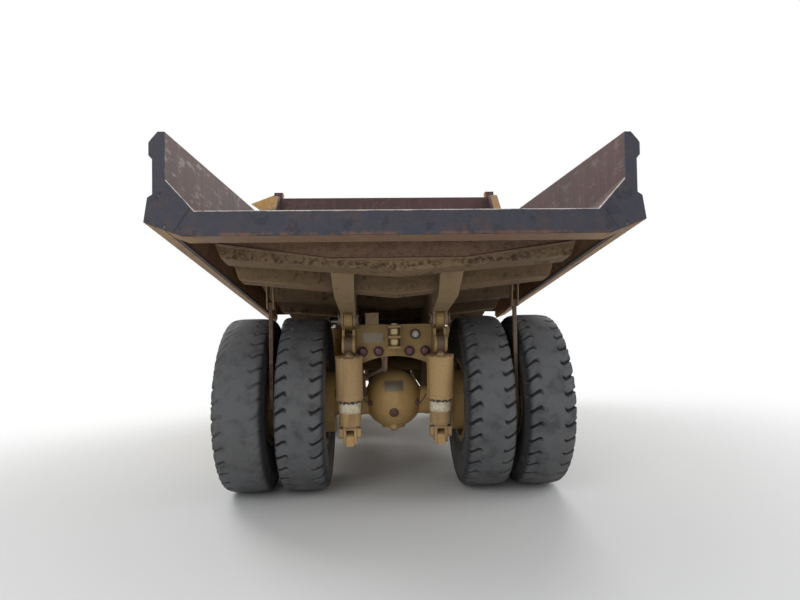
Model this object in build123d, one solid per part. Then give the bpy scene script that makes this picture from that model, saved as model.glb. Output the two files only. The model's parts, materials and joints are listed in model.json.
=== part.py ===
"""Off-highway rigid dump truck, in millimetres.

The truck faces -Y and stands on z = 0. Its left side, with the cab, is +X. The origin is the
centre of the ground rectangle that the truck covers. Each node of NODES is one sub-part.
"""
from build123d import *
import os
from math import cos, hypot, pi, sin

# Stance and overall sizes
LENGTH = 8150
TAIL_Y = LENGTH / 2
FRONT_Y = -LENGTH / 2
REAR_AXLE_Y = 1850
WHEELBASE = 3710
FRONT_AXLE_Y = REAR_AXLE_Y - WHEELBASE

# Tyres and rims
TYRE_RADIUS = 930
TREAD_WIDTH = 476
SIDEWALL_WIDTH = 500
BEAD_WIDTH = 380
RIM_RADIUS = 430
RIM_WALL = 26
FLANGE_HEIGHT = 34
FLANGE_THICKNESS = 18
TREAD_CHAMFER = 45
TYRE_SIDES = 20
NOTCH_WIDTH = 76
NOTCH_DEPTH = 52
NOTCH_REACH = 135
NOTCH_SKEW = 34
AXLE_Z = TYRE_RADIUS
DUAL_INNER_X = 940
DUAL_SPACING = 590
FRONT_WHEEL_X = 1550
RIM_HALF = BEAD_WIDTH / 2 + FLANGE_THICKNESS

# Clearances
SEAT_GAP = 0.3
SPIN_GAP = 0.5
MOVE_GAP = 6.0

# Frame rails
RAIL_X = 460
RAIL_WIDTH = 150
RAIL_IN = RAIL_X - RAIL_WIDTH / 2
RAIL_OUT = RAIL_X + RAIL_WIDTH / 2
RAIL_FRONT_Y = FRONT_Y + 275
RAIL_REAR_Y = REAR_AXLE_Y + 480
RAIL_LOW_Z = 950
RAIL_TOP_Z = 1400
RAIL_MID_TOP_Z = RAIL_TOP_Z + 220
RAIL_REAR_TOP_Z = RAIL_TOP_Z + 385
RAIL_REAR_LOW_Z = RAIL_LOW_Z + 435
RAIL_ARCH_Y = (REAR_AXLE_Y - 950, REAR_AXLE_Y - 600)
RAIL_STEP_Y = (-650, -300)
WELD = 5

# Drive shaft, from the gearbox to the rear axle
DRIVE_Y = (REAR_AXLE_Y - 1290, REAR_AXLE_Y - 410)
DRIVE_Z = AXLE_Z + 35

# Dump hinge
HINGE_Y = RAIL_REAR_Y + 170
HINGE_Z = RAIL_REAR_TOP_Z + 60
HINGE_PIN_RADIUS = 40
LUG_WIDTH = 80
LUG_RADIUS = 75
ARM_PLATE = 20
DOME_RADIUS = 320
REAR_BEAM_FRONT_Y = TAIL_Y - 575

# Dump body; heights above the floor are measured from its top face
FLOOR_TAIL_Z = 2650
FLOOR_SLOPE = 0.158
FLOOR_THICKNESS = 25
FLOOR_HALF = 1470
WALL_IN = 1675
WALL_THICKNESS = 16
WALL_OUT = WALL_IN + WALL_THICKNESS
CORNER_HEIGHT = 230
LIP_DEPTH = 181
WALL_TOP_Z = 3220
TOP_RAIL_OUT = 1790
TOP_RAIL_HEIGHT = 210
LOW_RAIL_HALF = 1828
FRONT_WALL_LOW_Y = -450
FRONT_WALL_TOP_Y = -800
FRONT_WALL_TOP_Z = 3770
FRONT_WALL_THICKNESS = 20
POST_DEPTH = 140
POST_TOP_Z = 3870
CANOPY_FRONT_Y = FRONT_Y + 225
CANOPY_RISE = 120
CANOPY_HALF = 1775
CANOPY_WING_X = 2170

# Decks, hood and cab
DECK_Z = 2030
DECK_THICKNESS = 60
DECK_TOP_Z = DECK_Z + DECK_THICKNESS
DECK_HALF = 1960
MIRROR_OUT = 340
MIRROR_REACH = DECK_HALF + MIRROR_OUT
DECK_FRONT_Y = FRONT_Y + 375
DECK_REAR_Y = -1260
HOOD_HALF = 620
HOOD_TOP_Z = 2400
GRILLE_DEPTH = 60
CAB_X = (HOOD_HALF + 60, HOOD_HALF + 1060)
CAB_Y = (DECK_FRONT_Y + 450, DECK_FRONT_Y + 2050)
CAB_TOP_Z = DECK_TOP_Z + 1430
CAB_WALL = 60
DOOR_OPENING_Y = (CAB_Y[0] + 170, CAB_Y[1] - 530)
DOOR_OPENING_Z = (DECK_TOP_Z + 90, CAB_TOP_Z - 100)
DOOR_THICKNESS = 50
DOOR_HINGES_Z = (DOOR_OPENING_Z[0] + 270, DOOR_OPENING_Z[1] - 240)
DOOR_FRONT_GAP = 10
DOOR_PIN_OUT = 28

# Bumper and ladders
BUMPER_HALF = 1800
BUMPER_Z = (740, 1140)
LADDER_X = (1050, 1450)

# Hoist cylinders; places in (y, z), and lengths along the cylinder from its base pin
HOIST_X = 722
HOIST_BASE = (REAR_AXLE_Y - 1150, 710)
HOIST_TOP = (REAR_AXLE_Y - 1300, 1800)
BARREL_RADIUS = 95
STAGE_RADIUS = 78
ROD_RADIUS = 60
HOIST_PIN_RADIUS = 40
HOIST_EYE_WIDTH = 130
BARREL_END = 1005
STAGE_END = 1026

# Rear suspension struts; places in (y, z)
STRUT_X = RAIL_X
STRUT_TOP = (HINGE_Y, HINGE_Z - 255)
STRUT_LOW = (HINGE_Y - 100, HINGE_Z - 1195)
STRUT_RADIUS = 135
STRUT_ROD_RADIUS = 110

# Rock ejector bars
EJECTOR_X = 1235
EJECTOR_WIDTH = 36
EJECTOR_Y = HINGE_Y - 40
EJECTOR_Z = HINGE_Z + 155
EJECTOR_LOW_Z = AXLE_Z + 30

# Steering; the kingpin is the front strut's own axis
KINGPIN_X = 1120
KINGPIN_RADIUS = 130
STRUT_TUBE_RADIUS = 90
TIE_ARM = (0, -330)
CYLINDER_ARM = 240
LINK_Z = 790
STEER_BASE = (200, FRONT_AXLE_Y + 300)
STEER_BARREL_RADIUS = 48
STEER_ROD_RADIUS = 28
LINK_PIN_RADIUS = 18


def block(x, y, z):
    """A box from three (low, high) pairs."""
    size = [high - low for low, high in (x, y, z)]
    centre = [(low + high) / 2 for low, high in (x, y, z)]
    return Pos(*centre) * Box(*size)


def rod(start, end, radius):
    """A round bar from one centre point to another."""
    a, b = Vector(*start), Vector(*end)
    return Solid.make_cylinder(radius, (b - a).length, Plane(origin=a, z_dir=b - a))


def cross_rod(y, z, x0, x1, radius):
    """A round bar across the truck."""
    return rod((x0, y, z), (x1, y, z), radius)


def cross_ring(y, z, x0, x1, radius, bore):
    """A round tube across the truck."""
    return cross_rod(y, z, x0, x1, radius) - cross_rod(y, z, x0 - 1, x1 + 1, bore)


def side_plate(points, x0, x1):
    """A side-view outline of (y, z) points, solid from x0 to x1."""
    face = Face(Wire.make_polygon([Vector(x0, y, z) for y, z in points]))
    return Solid.extrude(face, Vector(x1 - x0, 0, 0))


def end_plate(points, y0, y1, slope=0.0):
    """An end-view outline of (x, z) points, solid from y0 to y1 along a slope."""
    face = Face(Wire.make_polygon([Vector(x, y0, z) for x, z in points]))
    return Solid.extrude(face, Vector(0, y1 - y0, (y1 - y0) * slope))


def top_plate(points, z0, z1):
    """A plan outline of (x, y) points, solid from z0 to z1."""
    face = Face(Wire.make_polygon([Vector(x, y, z0) for x, y in points]))
    return Solid.extrude(face, Vector(0, 0, z1 - z0))


def floor_z(y):
    """Height of the dump body's floor at a place along the truck."""
    return FLOOR_TAIL_Z - FLOOR_SLOPE * (TAIL_Y - y)


def under_floor(y):
    """Height of the floor plate's underside at a place along the truck."""
    return floor_z(y) - FLOOR_THICKNESS


def along_floor(points, y0, y1):
    """An outline of (x, height above the floor) points, carried along the sloping floor."""
    return end_plate([(x, floor_z(y0) + up) for x, up in points], y0, y1, FLOOR_SLOPE)


def joined(*shapes):
    """One solid out of several that touch or overlap."""
    first, *rest = [solid for shape in shapes for solid in shape.solids()]
    return first.fuse(*rest) if rest else first


def mirrored(shape):
    """The same piece on the other side of the truck."""
    return shape.mirror(Plane.YZ)


def both_sides(*shapes):
    """Pieces and their mirror images."""
    return [copy for shape in shapes for copy in (shape, mirrored(shape))]


def whole(points):
    """An end-view outline completed from its +X half."""
    return points + [(-x, z) for x, z in reversed(points) if x > 0]


def group(*shapes):
    """Separate solids of one node."""
    return Compound([solid for shape in shapes for solid in shape.solids()])


# Chassis

def hinge_lug():
    """The lug above a rail's rear end that carries the dump hinge pin."""
    x = (STRUT_X - LUG_WIDTH / 2, STRUT_X + LUG_WIDTH / 2)
    web = side_plate([(RAIL_REAR_Y - 20, RAIL_REAR_TOP_Z - 95), (RAIL_REAR_Y - 20, RAIL_REAR_TOP_Z),
                      (HINGE_Y - 60, HINGE_Z + 45), (HINGE_Y, HINGE_Z + LUG_RADIUS - WELD),
                      (HINGE_Y, HINGE_Z - LUG_RADIUS)], *x)
    lug = joined(web, cross_rod(HINGE_Y, HINGE_Z, *x, LUG_RADIUS))
    return lug - cross_rod(HINGE_Y, HINGE_Z, x[0] - 1, x[1] + 1, HINGE_PIN_RADIUS + SPIN_GAP)


def strut_fork():
    """The two ears below a hinge lug that hold a rear strut's top eye."""
    ears = []
    for side in (1, -1):
        edges = sorted(STRUT_X + side * (LUG_WIDTH / 2 + step) for step in (0, 25))
        ear = block(edges, (RAIL_REAR_Y - 20, STRUT_TOP[0]), (STRUT_TOP[1] - 70, STRUT_TOP[1] + 150))
        ears.append(joined(ear, cross_rod(*STRUT_TOP, *edges, 85)))
    return ears


def strut_tower():
    """The arm with a saddle that carries a front strut on the rail."""
    reach = KINGPIN_X - 60
    points = [(RAIL_OUT - WELD, RAIL_LOW_Z + 280), (reach, RAIL_TOP_Z + 50), (reach, RAIL_TOP_Z + 500),
              (RAIL_OUT + 60, RAIL_TOP_Z + 300), (RAIL_OUT - WELD, RAIL_TOP_Z - WELD)]
    arm = end_plate(points, FRONT_AXLE_Y - 110, FRONT_AXLE_Y + 110)
    strut = rod((KINGPIN_X, FRONT_AXLE_Y, 1000), (KINGPIN_X, FRONT_AXLE_Y, 2100),
                KINGPIN_RADIUS + SEAT_GAP)
    return arm - strut


def main_frame():
    """Two box rails with cross-members, lugs, forks, towers and deck posts."""
    outline = [
        (RAIL_FRONT_Y, RAIL_LOW_Z), (RAIL_ARCH_Y[0], RAIL_LOW_Z), (RAIL_ARCH_Y[1], RAIL_REAR_LOW_Z),
        (RAIL_REAR_Y - 70, RAIL_REAR_LOW_Z), (RAIL_REAR_Y, RAIL_REAR_LOW_Z + 115),
        (RAIL_REAR_Y, RAIL_REAR_TOP_Z), (REAR_AXLE_Y - 350, RAIL_REAR_TOP_Z - 40),
        (RAIL_STEP_Y[1], RAIL_MID_TOP_Z), (RAIL_STEP_Y[0], RAIL_TOP_Z), (RAIL_FRONT_Y, RAIL_TOP_Z)]
    inner = (-RAIL_IN - WELD, RAIL_IN + WELD)
    hoist_base = joined(
        block((RAIL_OUT - WELD, RAIL_OUT + 60), (HOIST_BASE[0] - 80, HOIST_BASE[0] + 100),
              (HOIST_BASE[1] - 80, RAIL_LOW_Z + 250)),
        cross_rod(*HOIST_BASE, RAIL_OUT + 50, HOIST_X + 70, HOIST_PIN_RADIUS))
    tank_arm = block((RAIL_OUT - WELD, 950), (-40, 60), (1180, 1300))
    deck_post = block((RAIL_IN, RAIL_OUT), (DECK_REAR_Y - 90, DECK_REAR_Y),
                      (RAIL_TOP_Z - WELD, DECK_Z - 50))
    front_post = joined(
        block((HOOD_HALF, HOOD_HALF + 80), (DECK_FRONT_Y + 10, DECK_FRONT_Y + 100), (1300, DECK_Z)),
        block((RAIL_OUT - WELD, HOOD_HALF + WELD), (DECK_FRONT_Y + 10, DECK_FRONT_Y + 100),
              (1300, 1390)))
    half = [side_plate(outline, RAIL_IN, RAIL_OUT), hinge_lug(), *strut_fork(), strut_tower(),
            hoist_base, tank_arm, deck_post, front_post]
    tubes = ((RAIL_FRONT_Y + 300, RAIL_LOW_Z + 200, 90), (DECK_REAR_Y + 160, RAIL_LOW_Z + 300, 80),
             (HOIST_BASE[0] - 20, RAIL_LOW_Z + 290, 90), (REAR_AXLE_Y - 350, RAIL_REAR_LOW_Z + 215, 80))
    across = [cross_rod(y, z, *inner, radius) for y, z, radius in tubes]
    rear_plate = block(inner, (RAIL_REAR_Y - 60, RAIL_REAR_Y), (RAIL_REAR_LOW_Z, RAIL_REAR_TOP_Z))
    arch = rod((0, RAIL_REAR_Y - 70, 659), (0, RAIL_REAR_Y + 10, 659), 806)
    inside, outside = whole([(95, 1240), (95, 885)]), whole([(120, 1240), (120, 860)])
    ball_bracket = end_plate(inside + outside[::-1], REAR_AXLE_Y - 1230, REAR_AXLE_Y - 1110)
    deck_beam = block((-DECK_HALF + 60, DECK_HALF - 60), (DECK_REAR_Y - 90, DECK_REAR_Y),
                      (DECK_Z - 100, DECK_Z))
    return joined(*both_sides(*half), *across, rear_plate - arch, ball_bracket, deck_beam)


def steering_beam():
    """The cross-beam between the rails with the steering cylinders' two base pins."""
    half = RAIL_IN - SEAT_GAP
    beam = block((-half, half), (STEER_BASE[1] - 60, STEER_BASE[1] + 60), (LINK_Z + 70, LINK_Z + 210))
    pin = rod((*STEER_BASE, LINK_Z - 50), (*STEER_BASE, LINK_Z + 75), LINK_PIN_RADIUS)
    return joined(beam, *both_sides(pin))


def tow_hitch():
    """Three tow plates and their pin behind the frame's rear plate."""
    y = (RAIL_REAR_Y, RAIL_REAR_Y + 210)
    low = RAIL_REAR_TOP_Z - 240
    plates = [block((-62, 62), y, (z, z + 22)) for z in (low, low + 105, low + 210)]
    back = block((-62, 62), (RAIL_REAR_Y, RAIL_REAR_Y + 20), (low, low + 232))
    return joined(*plates, back, rod((0, y[1] - 60, low - 15), (0, y[1] - 60, low + 255), 24))


def front_bumper():
    """The box bumper across the nose, with swept corners."""
    points = [(-BUMPER_HALF, RAIL_FRONT_Y), (-BUMPER_HALF, FRONT_Y + 140),
              (-BUMPER_HALF + 200, FRONT_Y), (BUMPER_HALF - 200, FRONT_Y),
              (BUMPER_HALF, FRONT_Y + 140), (BUMPER_HALF, RAIL_FRONT_Y)]
    return top_plate(points, *BUMPER_Z)


def engine_block():
    """The engine as one plain block between the rails."""
    half = RAIL_IN - SEAT_GAP
    front, rear = RAIL_FRONT_Y + 500, FRONT_AXLE_Y - 40
    sump = block((-half, half), (front, rear), (RAIL_LOW_Z + 50, RAIL_TOP_Z - 20))
    return joined(sump, block((-330, 330), (front + 50, rear - 50), (RAIL_TOP_Z - 30, DECK_Z - 50)))


def transmission():
    """The gearbox, its ears on the rails and its output shaft."""
    half = RAIL_IN - SEAT_GAP
    case = block((-280, 280), (-800, 480), (780, 1330))
    ears = block((-half, half), (-300, -100), (1100, 1250))
    return joined(case, ears, rod((0, 470, DRIVE_Z), (0, DRIVE_Y[0], DRIVE_Z), 70))


def drive_shaft():
    """The shaft from the gearbox to the rear axle."""
    start, end = DRIVE_Y
    yokes = [rod((0, y, DRIVE_Z), (0, y + 55, DRIVE_Z), 80) for y in (start, end - 55)]
    return joined(rod((0, start, DRIVE_Z), (0, end, DRIVE_Z), 55), *yokes)


def rear_axle_housing():
    """The banjo housing with its tubes, brakes, spindles, A-frame pads and strut brackets."""
    y, z = REAR_AXLE_Y, AXLE_Z
    centre = (0, y, z + 25)
    nose = block((-120, 120), (DRIVE_Y[1], y), (840, 1080))
    pieces = [Pos(*centre) * Sphere(DOME_RADIUS), nose, cross_rod(y, z, -1120, 1120, 150),
              rod((0, y, 640), (0, y, z), 130), rod((0, y + 130, 640), (0, y + 130, 800), 50)]
    eye_y, eye_z = STRUT_LOW
    lug = [(y - 100, eye_z + 110), (eye_y - 20, eye_z - 80), (eye_y + 70, eye_z - 80),
           (eye_y + 70, eye_z + 20), (eye_y - 100, eye_z + 50), (y, z + 70)]
    half = [cross_rod(y, z, 640, 1120, 330), cross_rod(y, z, 1100, 1560, 118),
            side_plate(lug, STRUT_X - 38, STRUT_X + 38),
            block((350, 490), (y - 250, y), (z - 160, z - 60))]
    return joined(*pieces, *both_sides(*half))


def axle_a_frame():
    """The A-frame that pulls the rear axle, from its ball joint to the housing's pads."""
    ball, pads, z = REAR_AXLE_Y - 1160, REAR_AXLE_Y - 250, AXLE_Z - 160
    points = [(-90, ball), (-480, pads), (-360, pads), (0, ball + 150), (360, pads), (480, pads),
              (90, ball), (60, ball - 70), (-60, ball - 70)]
    return joined(top_plate(points, z, z + 80), rod((0, ball, z - 40), (0, ball, z + 90), 80))


def strut_point(share):
    """A point on the left rear strut's line, from 0 at the top eye to 1 at the low eye."""
    (y0, z0), (y1, z1) = STRUT_TOP, STRUT_LOW
    return (STRUT_X, y0 + (y1 - y0) * share, z0 + (z1 - z0) * share)


def rear_strut_cylinders():
    """The upper cylinders, with eyes that hang in the frame's forks."""
    half = LUG_WIDTH / 2 - SEAT_GAP
    eye = cross_rod(*STRUT_TOP, STRUT_X - half, STRUT_X + half, 78)
    neck = rod(strut_point(0.06), strut_point(0.15), 39)
    cylinder = rod(strut_point(0.128), strut_point(0.574), STRUT_RADIUS)
    return group(*both_sides(joined(eye, neck, cylinder)))


def rear_strut_rods():
    """The lower tubes, with forks over the axle's brackets."""
    y, z = STRUT_LOW
    tube = rod(strut_point(0.574), strut_point(0.86), STRUT_ROD_RADIUS)
    crown = block((STRUT_X - 68, STRUT_X + 68), (y - 60, y + 60), (z + 75, z + 170))
    ears = [block(sorted(STRUT_X + side * (38 + step) for step in (SEAT_GAP, 30)),
                  (y - 60, y + 60), (z - 60, z + 100)) for side in (1, -1)]
    return group(*both_sides(joined(tube, crown, *ears)))


def front_strut_cylinders():
    """The front struts, fixed to their towers; the wheels steer about them."""
    top, low, bore_end = 2005, 1080, 1330
    tube = rod((KINGPIN_X, FRONT_AXLE_Y, low), (KINGPIN_X, FRONT_AXLE_Y, top), KINGPIN_RADIUS)
    bore = rod((KINGPIN_X, FRONT_AXLE_Y, low - 1), (KINGPIN_X, FRONT_AXLE_Y, bore_end),
               STRUT_TUBE_RADIUS + SPIN_GAP)
    return group(*both_sides(tube - bore))


def tank(x0, x1, y, z, corner):
    """A rounded tank beside a rail."""
    shell = block((x0, x1), y, z)
    return fillet(shell.edges().filter_by(Axis.Y), corner)


def tail_lamps():
    """Four round lamps on the frame's rear plate."""
    lamps = [rod((x, RAIL_REAR_Y, 1508), (x, RAIL_REAR_Y + 36, 1508), 52) for x in (160, 325)]
    return group(*both_sides(*lamps))


# Front end, decks and cab

def radiator_grille():
    """The radiator core and the grille frame with its bars."""
    core = block((-560, 560), (DECK_FRONT_Y + 60, DECK_FRONT_Y + 220), (RAIL_TOP_Z, HOOD_TOP_Z - 120))
    face = (DECK_FRONT_Y, DECK_FRONT_Y + GRILLE_DEPTH)
    frame = block((-HOOD_HALF, HOOD_HALF), face, (RAIL_TOP_Z, HOOD_TOP_Z))
    frame = frame - block((-540, 540), (face[0] - 1, face[1] - 15), (1480, 2320))
    bars = [block((-545, 545), (face[0] + 10, face[1] - 10), (z, z + 40))
            for z in range(1540, 2300, 120)]
    return joined(core, frame, *bars)


def engine_hood():
    """The hood between the decks, open below."""
    outer = block((-HOOD_HALF, HOOD_HALF), (DECK_FRONT_Y + GRILLE_DEPTH, -1400), (1950, HOOD_TOP_Z))
    inside = block((-HOOD_HALF + 20, HOOD_HALF - 20), (DECK_FRONT_Y, -1420), (1900, HOOD_TOP_Z - 20))
    return outer - inside


def decks():
    """The two platforms beside the hood, with turned-down edges."""
    plate = block((HOOD_HALF, DECK_HALF), (DECK_FRONT_Y, DECK_REAR_Y), (DECK_Z, DECK_TOP_Z))
    edge = block((DECK_HALF - 20, DECK_HALF), (DECK_FRONT_Y, DECK_REAR_Y), (DECK_Z - 70, DECK_Z + 10))
    return group(*both_sides(joined(plate, edge)))


def cab_openings():
    """The cab's window and door cut-outs as (name, x, y, z) boxes through the walls."""
    (x0, x1), (y0, y1) = CAB_X, CAB_Y
    through = CAB_WALL + 2
    return [
        ("windscreen", (x0 + 80, x1 - 80), (y0 - 1, y0 + through), (2760, 3400)),
        ("rear", (x0 + 120, x1 - 120), (y1 - through, y1 + 1), (2800, 3360)),
        ("right", (x0 - 1, x0 + through), (y0 + 150, y1 - 150), (2800, 3380)),
        ("left_rear", (x1 - through, x1 + 1), (DOOR_OPENING_Y[1] + 90, y1 - 100), (2760, 3380)),
        ("door", (x1 - through, x1 + 1), DOOR_OPENING_Y, DOOR_OPENING_Z)]


def door_axis():
    """The door hinge's place in plan, outside the cab's left wall at the door's rear edge."""
    return CAB_X[1] + DOOR_PIN_OUT, DOOR_OPENING_Y[1]


def cab_shell():
    """The hollow cab with window and door openings, and the door's hinge lugs and pins."""
    inner = [(low + CAB_WALL, high - CAB_WALL) for low, high in (CAB_X, CAB_Y)]
    shell = block(CAB_X, CAB_Y, (DECK_TOP_Z, CAB_TOP_Z))
    shell = shell - block(*inner, (DECK_TOP_Z + 30, CAB_TOP_Z - CAB_WALL))
    for name, x, y, z in cab_openings():
        shell = shell - block(x, y, z)
    px, py = door_axis()
    lugs = []
    for centre in DOOR_HINGES_Z:
        lugs.append(rod((px, py, centre - 70), (px, py, centre + 70), 9))
        for low in (centre - 70, centre + 40):
            lugs.append(block((CAB_X[1] - WELD, px + 16), (py - 5, py + 25), (low, low + 30)))
            lugs.append(rod((px, py, low), (px, py, low + 30), 20))
    return joined(shell, *lugs)


def cab_windows():
    """The fixed panes, each seated in its opening."""
    panes = []
    for name, x, y, z in cab_openings():
        if name == "door":
            continue
        thin = 0 if x[1] - x[0] < y[1] - y[0] else 1
        spans = [list(x), list(y), list(z)]
        for axis in range(3):
            low, high = spans[axis]
            middle = (low + high) / 2
            spans[axis] = (middle - 4, middle + 4) if axis == thin else (low + SEAT_GAP, high - SEAT_GAP)
        panes.append(block(*spans))
    return group(*panes)


def operator_seat():
    """The driver's seat on its pedestal."""
    floor, x = DECK_TOP_Z + 30, (CAB_X[0] + CAB_X[1]) / 2
    rear = CAB_Y[1] - 280
    pedestal = block((x - 140, x + 140), (rear - 490, rear - 190), (floor, floor + 300))
    cushion = block((x - 250, x + 250), (rear - 590, rear - 90), (floor + 280, floor + 420))
    back = block((x - 230, x + 230), (rear - 130, rear), (floor + 380, floor + 1060))
    return joined(pedestal, cushion, back)


def dashboard():
    """The dash panel with the steering column and wheel."""
    floor, x = DECK_TOP_Z + 30, (CAB_X[0] + CAB_X[1]) / 2
    face = CAB_Y[0] + 310
    dash = block((CAB_X[0] + CAB_WALL, CAB_X[1] - 120), (CAB_Y[0] + CAB_WALL, face), (floor, floor + 600))
    column = rod((x, face - 60, floor + 480), (x, face + 150, floor + 690), 30)
    place = Plane(origin=(x, face + 150, floor + 690), z_dir=(0, 1, 1))
    rim = place * Torus(210, 17)
    spokes = place * Box(410, 40, 14)
    return joined(dash, column, rim, spokes)


def cab_door():
    """The door panel with its window cut and its hinge barrels."""
    x1 = CAB_X[1] - 5
    y = (DOOR_OPENING_Y[0] + DOOR_FRONT_GAP, DOOR_OPENING_Y[1] - MOVE_GAP)
    z = (DOOR_OPENING_Z[0] + MOVE_GAP, DOOR_OPENING_Z[1] - MOVE_GAP)
    panel = block((x1 - DOOR_THICKNESS, x1), y, z)
    panel = panel - block((x1 - DOOR_THICKNESS - 1, x1 + 1), door_window()[0], door_window()[1])
    px, py = door_axis()
    pieces = []
    for centre in DOOR_HINGES_Z:
        half = 40 - SPIN_GAP
        leaf = block((x1 - WELD, x1 + 15), (py - 110, py - 20), (centre - half, centre + half))
        strap = top_plate([(x1, py - 60), (px, py - 18), (px, py), (px - 14, py - 14), (x1, py - 30)],
                          centre - half, centre + half)
        barrel = rod((px, py, centre - half), (px, py, centre + half), 20)
        bore = rod((px, py, centre - 60), (px, py, centre + 60), 9 + SPIN_GAP)
        pieces += [leaf - bore, strap - bore, barrel - bore]
    return joined(panel, *pieces)


def door_window():
    """The door window's span along the truck and in height."""
    y = (DOOR_OPENING_Y[0] + 110, DOOR_OPENING_Y[1] - 110)
    return y, (2780, DOOR_OPENING_Z[1] - 100)


def cab_door_window():
    """The pane in the door."""
    y, z = door_window()
    x = CAB_X[1] - 5 - DOOR_THICKNESS / 2
    return block((x - 4, x + 4), (y[0] + SEAT_GAP, y[1] - SEAT_GAP), (z[0] + SEAT_GAP, z[1] - SEAT_GAP))


def ladders_and_handrails():
    """Ladders from the bumper to the decks, hanging steps below it, and the deck rails."""
    x0, x1 = LADDER_X
    lean = [(FRONT_Y + 45, BUMPER_Z[1]), (FRONT_Y + 125, BUMPER_Z[1]), (DECK_FRONT_Y, DECK_Z - 40),
            (DECK_FRONT_Y, DECK_TOP_Z), (DECK_FRONT_Y - 60, DECK_TOP_Z)]
    ladder = [side_plate(lean, x, x + 20) for x in (x0, x1 - 20)]
    for k in range(1, 5):
        z = BUMPER_Z[1] + 180 * k
        y = FRONT_Y + 85 + 290 * (z - BUMPER_Z[1]) / (DECK_TOP_Z - BUMPER_Z[1])
        ladder.append(block((x0 + 15, x1 - 15), (y - 35, y + 35), (z, z + 25)))
    steps = [block((x, x + 20), (FRONT_Y + 40, FRONT_Y + 110), (430, BUMPER_Z[0]))
             for x in (x0, x1 - 20)]
    steps += [block((x0 + 15, x1 - 15), (FRONT_Y + 40, FRONT_Y + 110), (z, z + 25)) for z in (430, 590)]
    pieces = [*both_sides(joined(*ladder), joined(*steps))]
    front_y, side_x = DECK_FRONT_Y + 40, DECK_HALF - 50
    middle_y = (DECK_FRONT_Y + DECK_REAR_Y) / 2 - 20
    near, far = LADDER_X[0] - 20, LADDER_X[1] + 20
    runs = [((700, front_y), (near, front_y)), ((far, front_y), (side_x, front_y)),
            ((-700, front_y), (-near, front_y)), ((-far, front_y), (-side_x, front_y)),
            ((-side_x, front_y), (-side_x, middle_y)), ((-side_x, middle_y), (-side_x, DECK_REAR_Y - 50))]
    rails = []
    for start, end in runs:
        for x, y in (start, end):
            rails.append(rod((x, y, DECK_TOP_Z), (x, y, DECK_TOP_Z + 1000), 21))
            rails.append(Pos(x, y, DECK_TOP_Z + 1000) * Sphere(21))
        for up in (500, 1000):
            rails.append(rod((*start, DECK_TOP_Z + up), (*end, DECK_TOP_Z + up), 19))
    return group(*pieces, joined(*rails))


def mirrors():
    """The mirrors on arms at the decks' front corners."""
    post_x, y = DECK_HALF - 110, DECK_FRONT_Y + 110
    post = rod((post_x, y, DECK_TOP_Z), (post_x, y, 3000), 20)
    arms = [rod((post_x, y, z), (MIRROR_REACH - 60, y, z), 14) for z in (2700, 2980)]
    head = block((MIRROR_REACH - 220, MIRROR_REACH), (y - 30, y + 30), (2620, 3060))
    return group(*both_sides(joined(post, *arms, head)))


def headlamps():
    """Lamp boxes on top of the bumper."""
    return group(*both_sides(block((620, 940), (FRONT_Y + 40, FRONT_Y + 190), (BUMPER_Z[1], 1330))))


def air_cleaners():
    """Two air cleaner cans on their feet on the right deck."""
    cans = []
    front, z = DECK_FRONT_Y + 250, DECK_TOP_Z + 240
    for x in (-HOOD_HALF - 320, -HOOD_HALF - 820):
        can = rod((x, front, z), (x, front + 750, z), 205)
        feet = [block((x - 130, x + 130), (y, y + 60), (DECK_TOP_Z, z - 120))
                for y in (front + 100, front + 590)]
        cans.append(joined(can, *feet))
    return group(*cans)


def battery_box():
    """The lidded box at the right deck's rear."""
    x, y = (160 - DECK_HALF, 860 - DECK_HALF), (DECK_REAR_Y - 890, DECK_REAR_Y - 240)
    top = DECK_TOP_Z + 350
    lid = block((x[0] - 15, x[1] + 15), (y[0] - 15, y[1] + 15), (top - 10, top + 40))
    return joined(block(x, y, (DECK_TOP_Z, top)), lid)


# Dump body

def body_floor():
    """The floor plate with its corner plates and the deep lip at the tail."""
    thick = FLOOR_THICKNESS
    plate = whole([(FLOOR_HALF, 0), (WALL_IN, CORNER_HEIGHT), (WALL_IN, CORNER_HEIGHT - 38),
                   (FLOOR_HALF + 10, -thick)])
    lip = whole([(FLOOR_HALF + 10, -thick + 1), (WALL_IN, CORNER_HEIGHT - 36), (WALL_IN, -137),
                 (1560, -LIP_DEPTH)])
    return joined(along_floor(plate, TAIL_Y, FRONT_WALL_LOW_Y), along_floor(lip, TAIL_Y, TAIL_Y - 180))


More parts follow.
